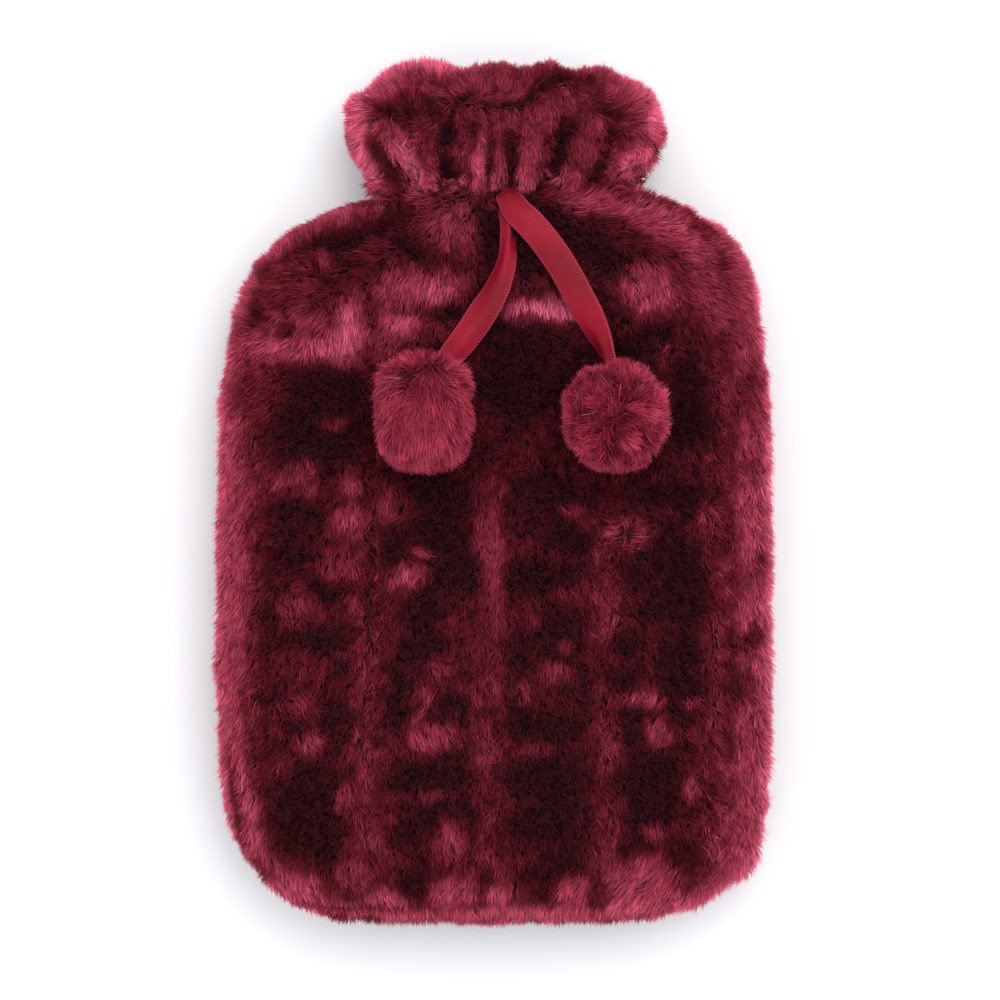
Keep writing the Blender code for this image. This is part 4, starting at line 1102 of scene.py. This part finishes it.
def pompom_mesh(shape):
    """Fibres from a core to the ball's face, drawn together in locks and combed one way.

    Each fibre's end lies between its own direction and its lock's, and its middle the same
    way with less of all that moves it.
    """
    draw = np.random.default_rng(shape.seed)
    ways = unit(spread_ways(POMPOM_FIBRES) + draw.normal(0, 0.02, (POMPOM_FIBRES, 3)))
    locks = unit(spread_ways(shape.locks) + draw.normal(0, 0.06, (shape.locks, 3)))
    mine = (ways @ locks.T).argmax(axis=1)
    comb = np.array((0, -shape.combed, 0)) * (0.35 + 0.65 * np.maximum(ways[:, 2:], 0))
    stray = draw.normal(0, 0.09, (POMPOM_FIBRES, 3))
    stray = stray + draw.normal(0, shape.unruly, (shape.locks, 3))[mine]
    ends = unit(ways * END_OWN + locks[mine] * END_LOCK + comb + stray)
    halfway = ways * MIDDLE_OWN + locks[mine] * MIDDLE_LOCK
    halfway = unit(halfway + comb * MIDDLE_MOVED + stray * MIDDLE_MOVED)
    reach = draw.uniform(0.88, 1.01, POMPOM_FIBRES)
    reach = (reach * (1 + draw.normal(0, 0.035, shape.locks)[mine]))[:, None]
    root = round_box(ways, shape, POMPOM_CORE)
    middle = round_box(halfway, shape, MIDDLE_OUT * reach)
    tip = round_box(ends, shape, reach)
    facing = ways + unit(draw.normal(0, 1, (POMPOM_FIBRES, 3))) * FACES_ASTRAY
    wide = draw.uniform(*POMPOM_FIBRE_WIDTHS, POMPOM_FIBRES)
    tone = 0.5 + draw.normal(0, 0.12, shape.locks)[mine] + draw.normal(0, 0.15, POMPOM_FIBRES)
    fibre = tip - root
    # Painted light: the more a fibre lies across, the brighter pompom_pile paints it.
    lie = np.hypot(fibre[:, 0], fibre[:, 1]) / np.linalg.norm(fibre, axis=1)
    name = "fibres_pompom_" + shape.side
    return blades(name, root, middle, tip, wide, facing, np.clip(tone, 0, 1), lie)


def core_mesh(shape, rings=20, steps=32):
    """The yarn's core: a rounded box of latitude rings, closed at the poles."""
    polar = np.linspace(0.02, math.pi - 0.02, rings)[:, None]
    turn = np.linspace(0, 2 * math.pi, steps, endpoint=False)[None, :]
    rounds = (np.sin(polar) * np.cos(turn), np.sin(polar) * np.sin(turn), np.cos(polar))
    ways = np.stack(np.broadcast_arrays(*rounds), axis=-1).reshape(-1, 3)
    points = round_box(np.concatenate((ways, ((0, 0, 1), (0, 0, -1)))), shape, POMPOM_CORE)
    n = np.arange(steps)
    after, last, top = (n + 1) % steps, (rings - 1) * steps, np.full(steps, rings * steps)
    faces = grid_quads(rings, steps, True)[:, ::-1].tolist()
    faces += np.stack((n, after, top), axis=1).tolist()
    faces += np.stack((last + after, last + n, top + 1), axis=1).tolist()
    mesh = bpy.data.meshes.new("core_pompom_" + shape.side)
    mesh.from_pydata(points.tolist(), [], faces)
    mesh.shade_smooth()
    # The core is coloured as fibre lying little over, so it takes the darker, painted-shade end.
    note(mesh, "pile", "FLOAT_COLOR", "color", [(0.6, 0.4, 0.2, 1.0)] * len(points))
    return mesh


for shape in POMPOMS:
    fibres = put("fibres_pompom_" + shape.side, pompom_mesh(shape), pompom_pile)
    core = put("core_pompom_" + shape.side, core_mesh(shape), pompom_pile)
    for thing in (fibres, core):
        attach(thing, "root")
    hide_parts("pompom_" + shape.side)
    band, line, length = ribbons["ribbon_" + shape.side]
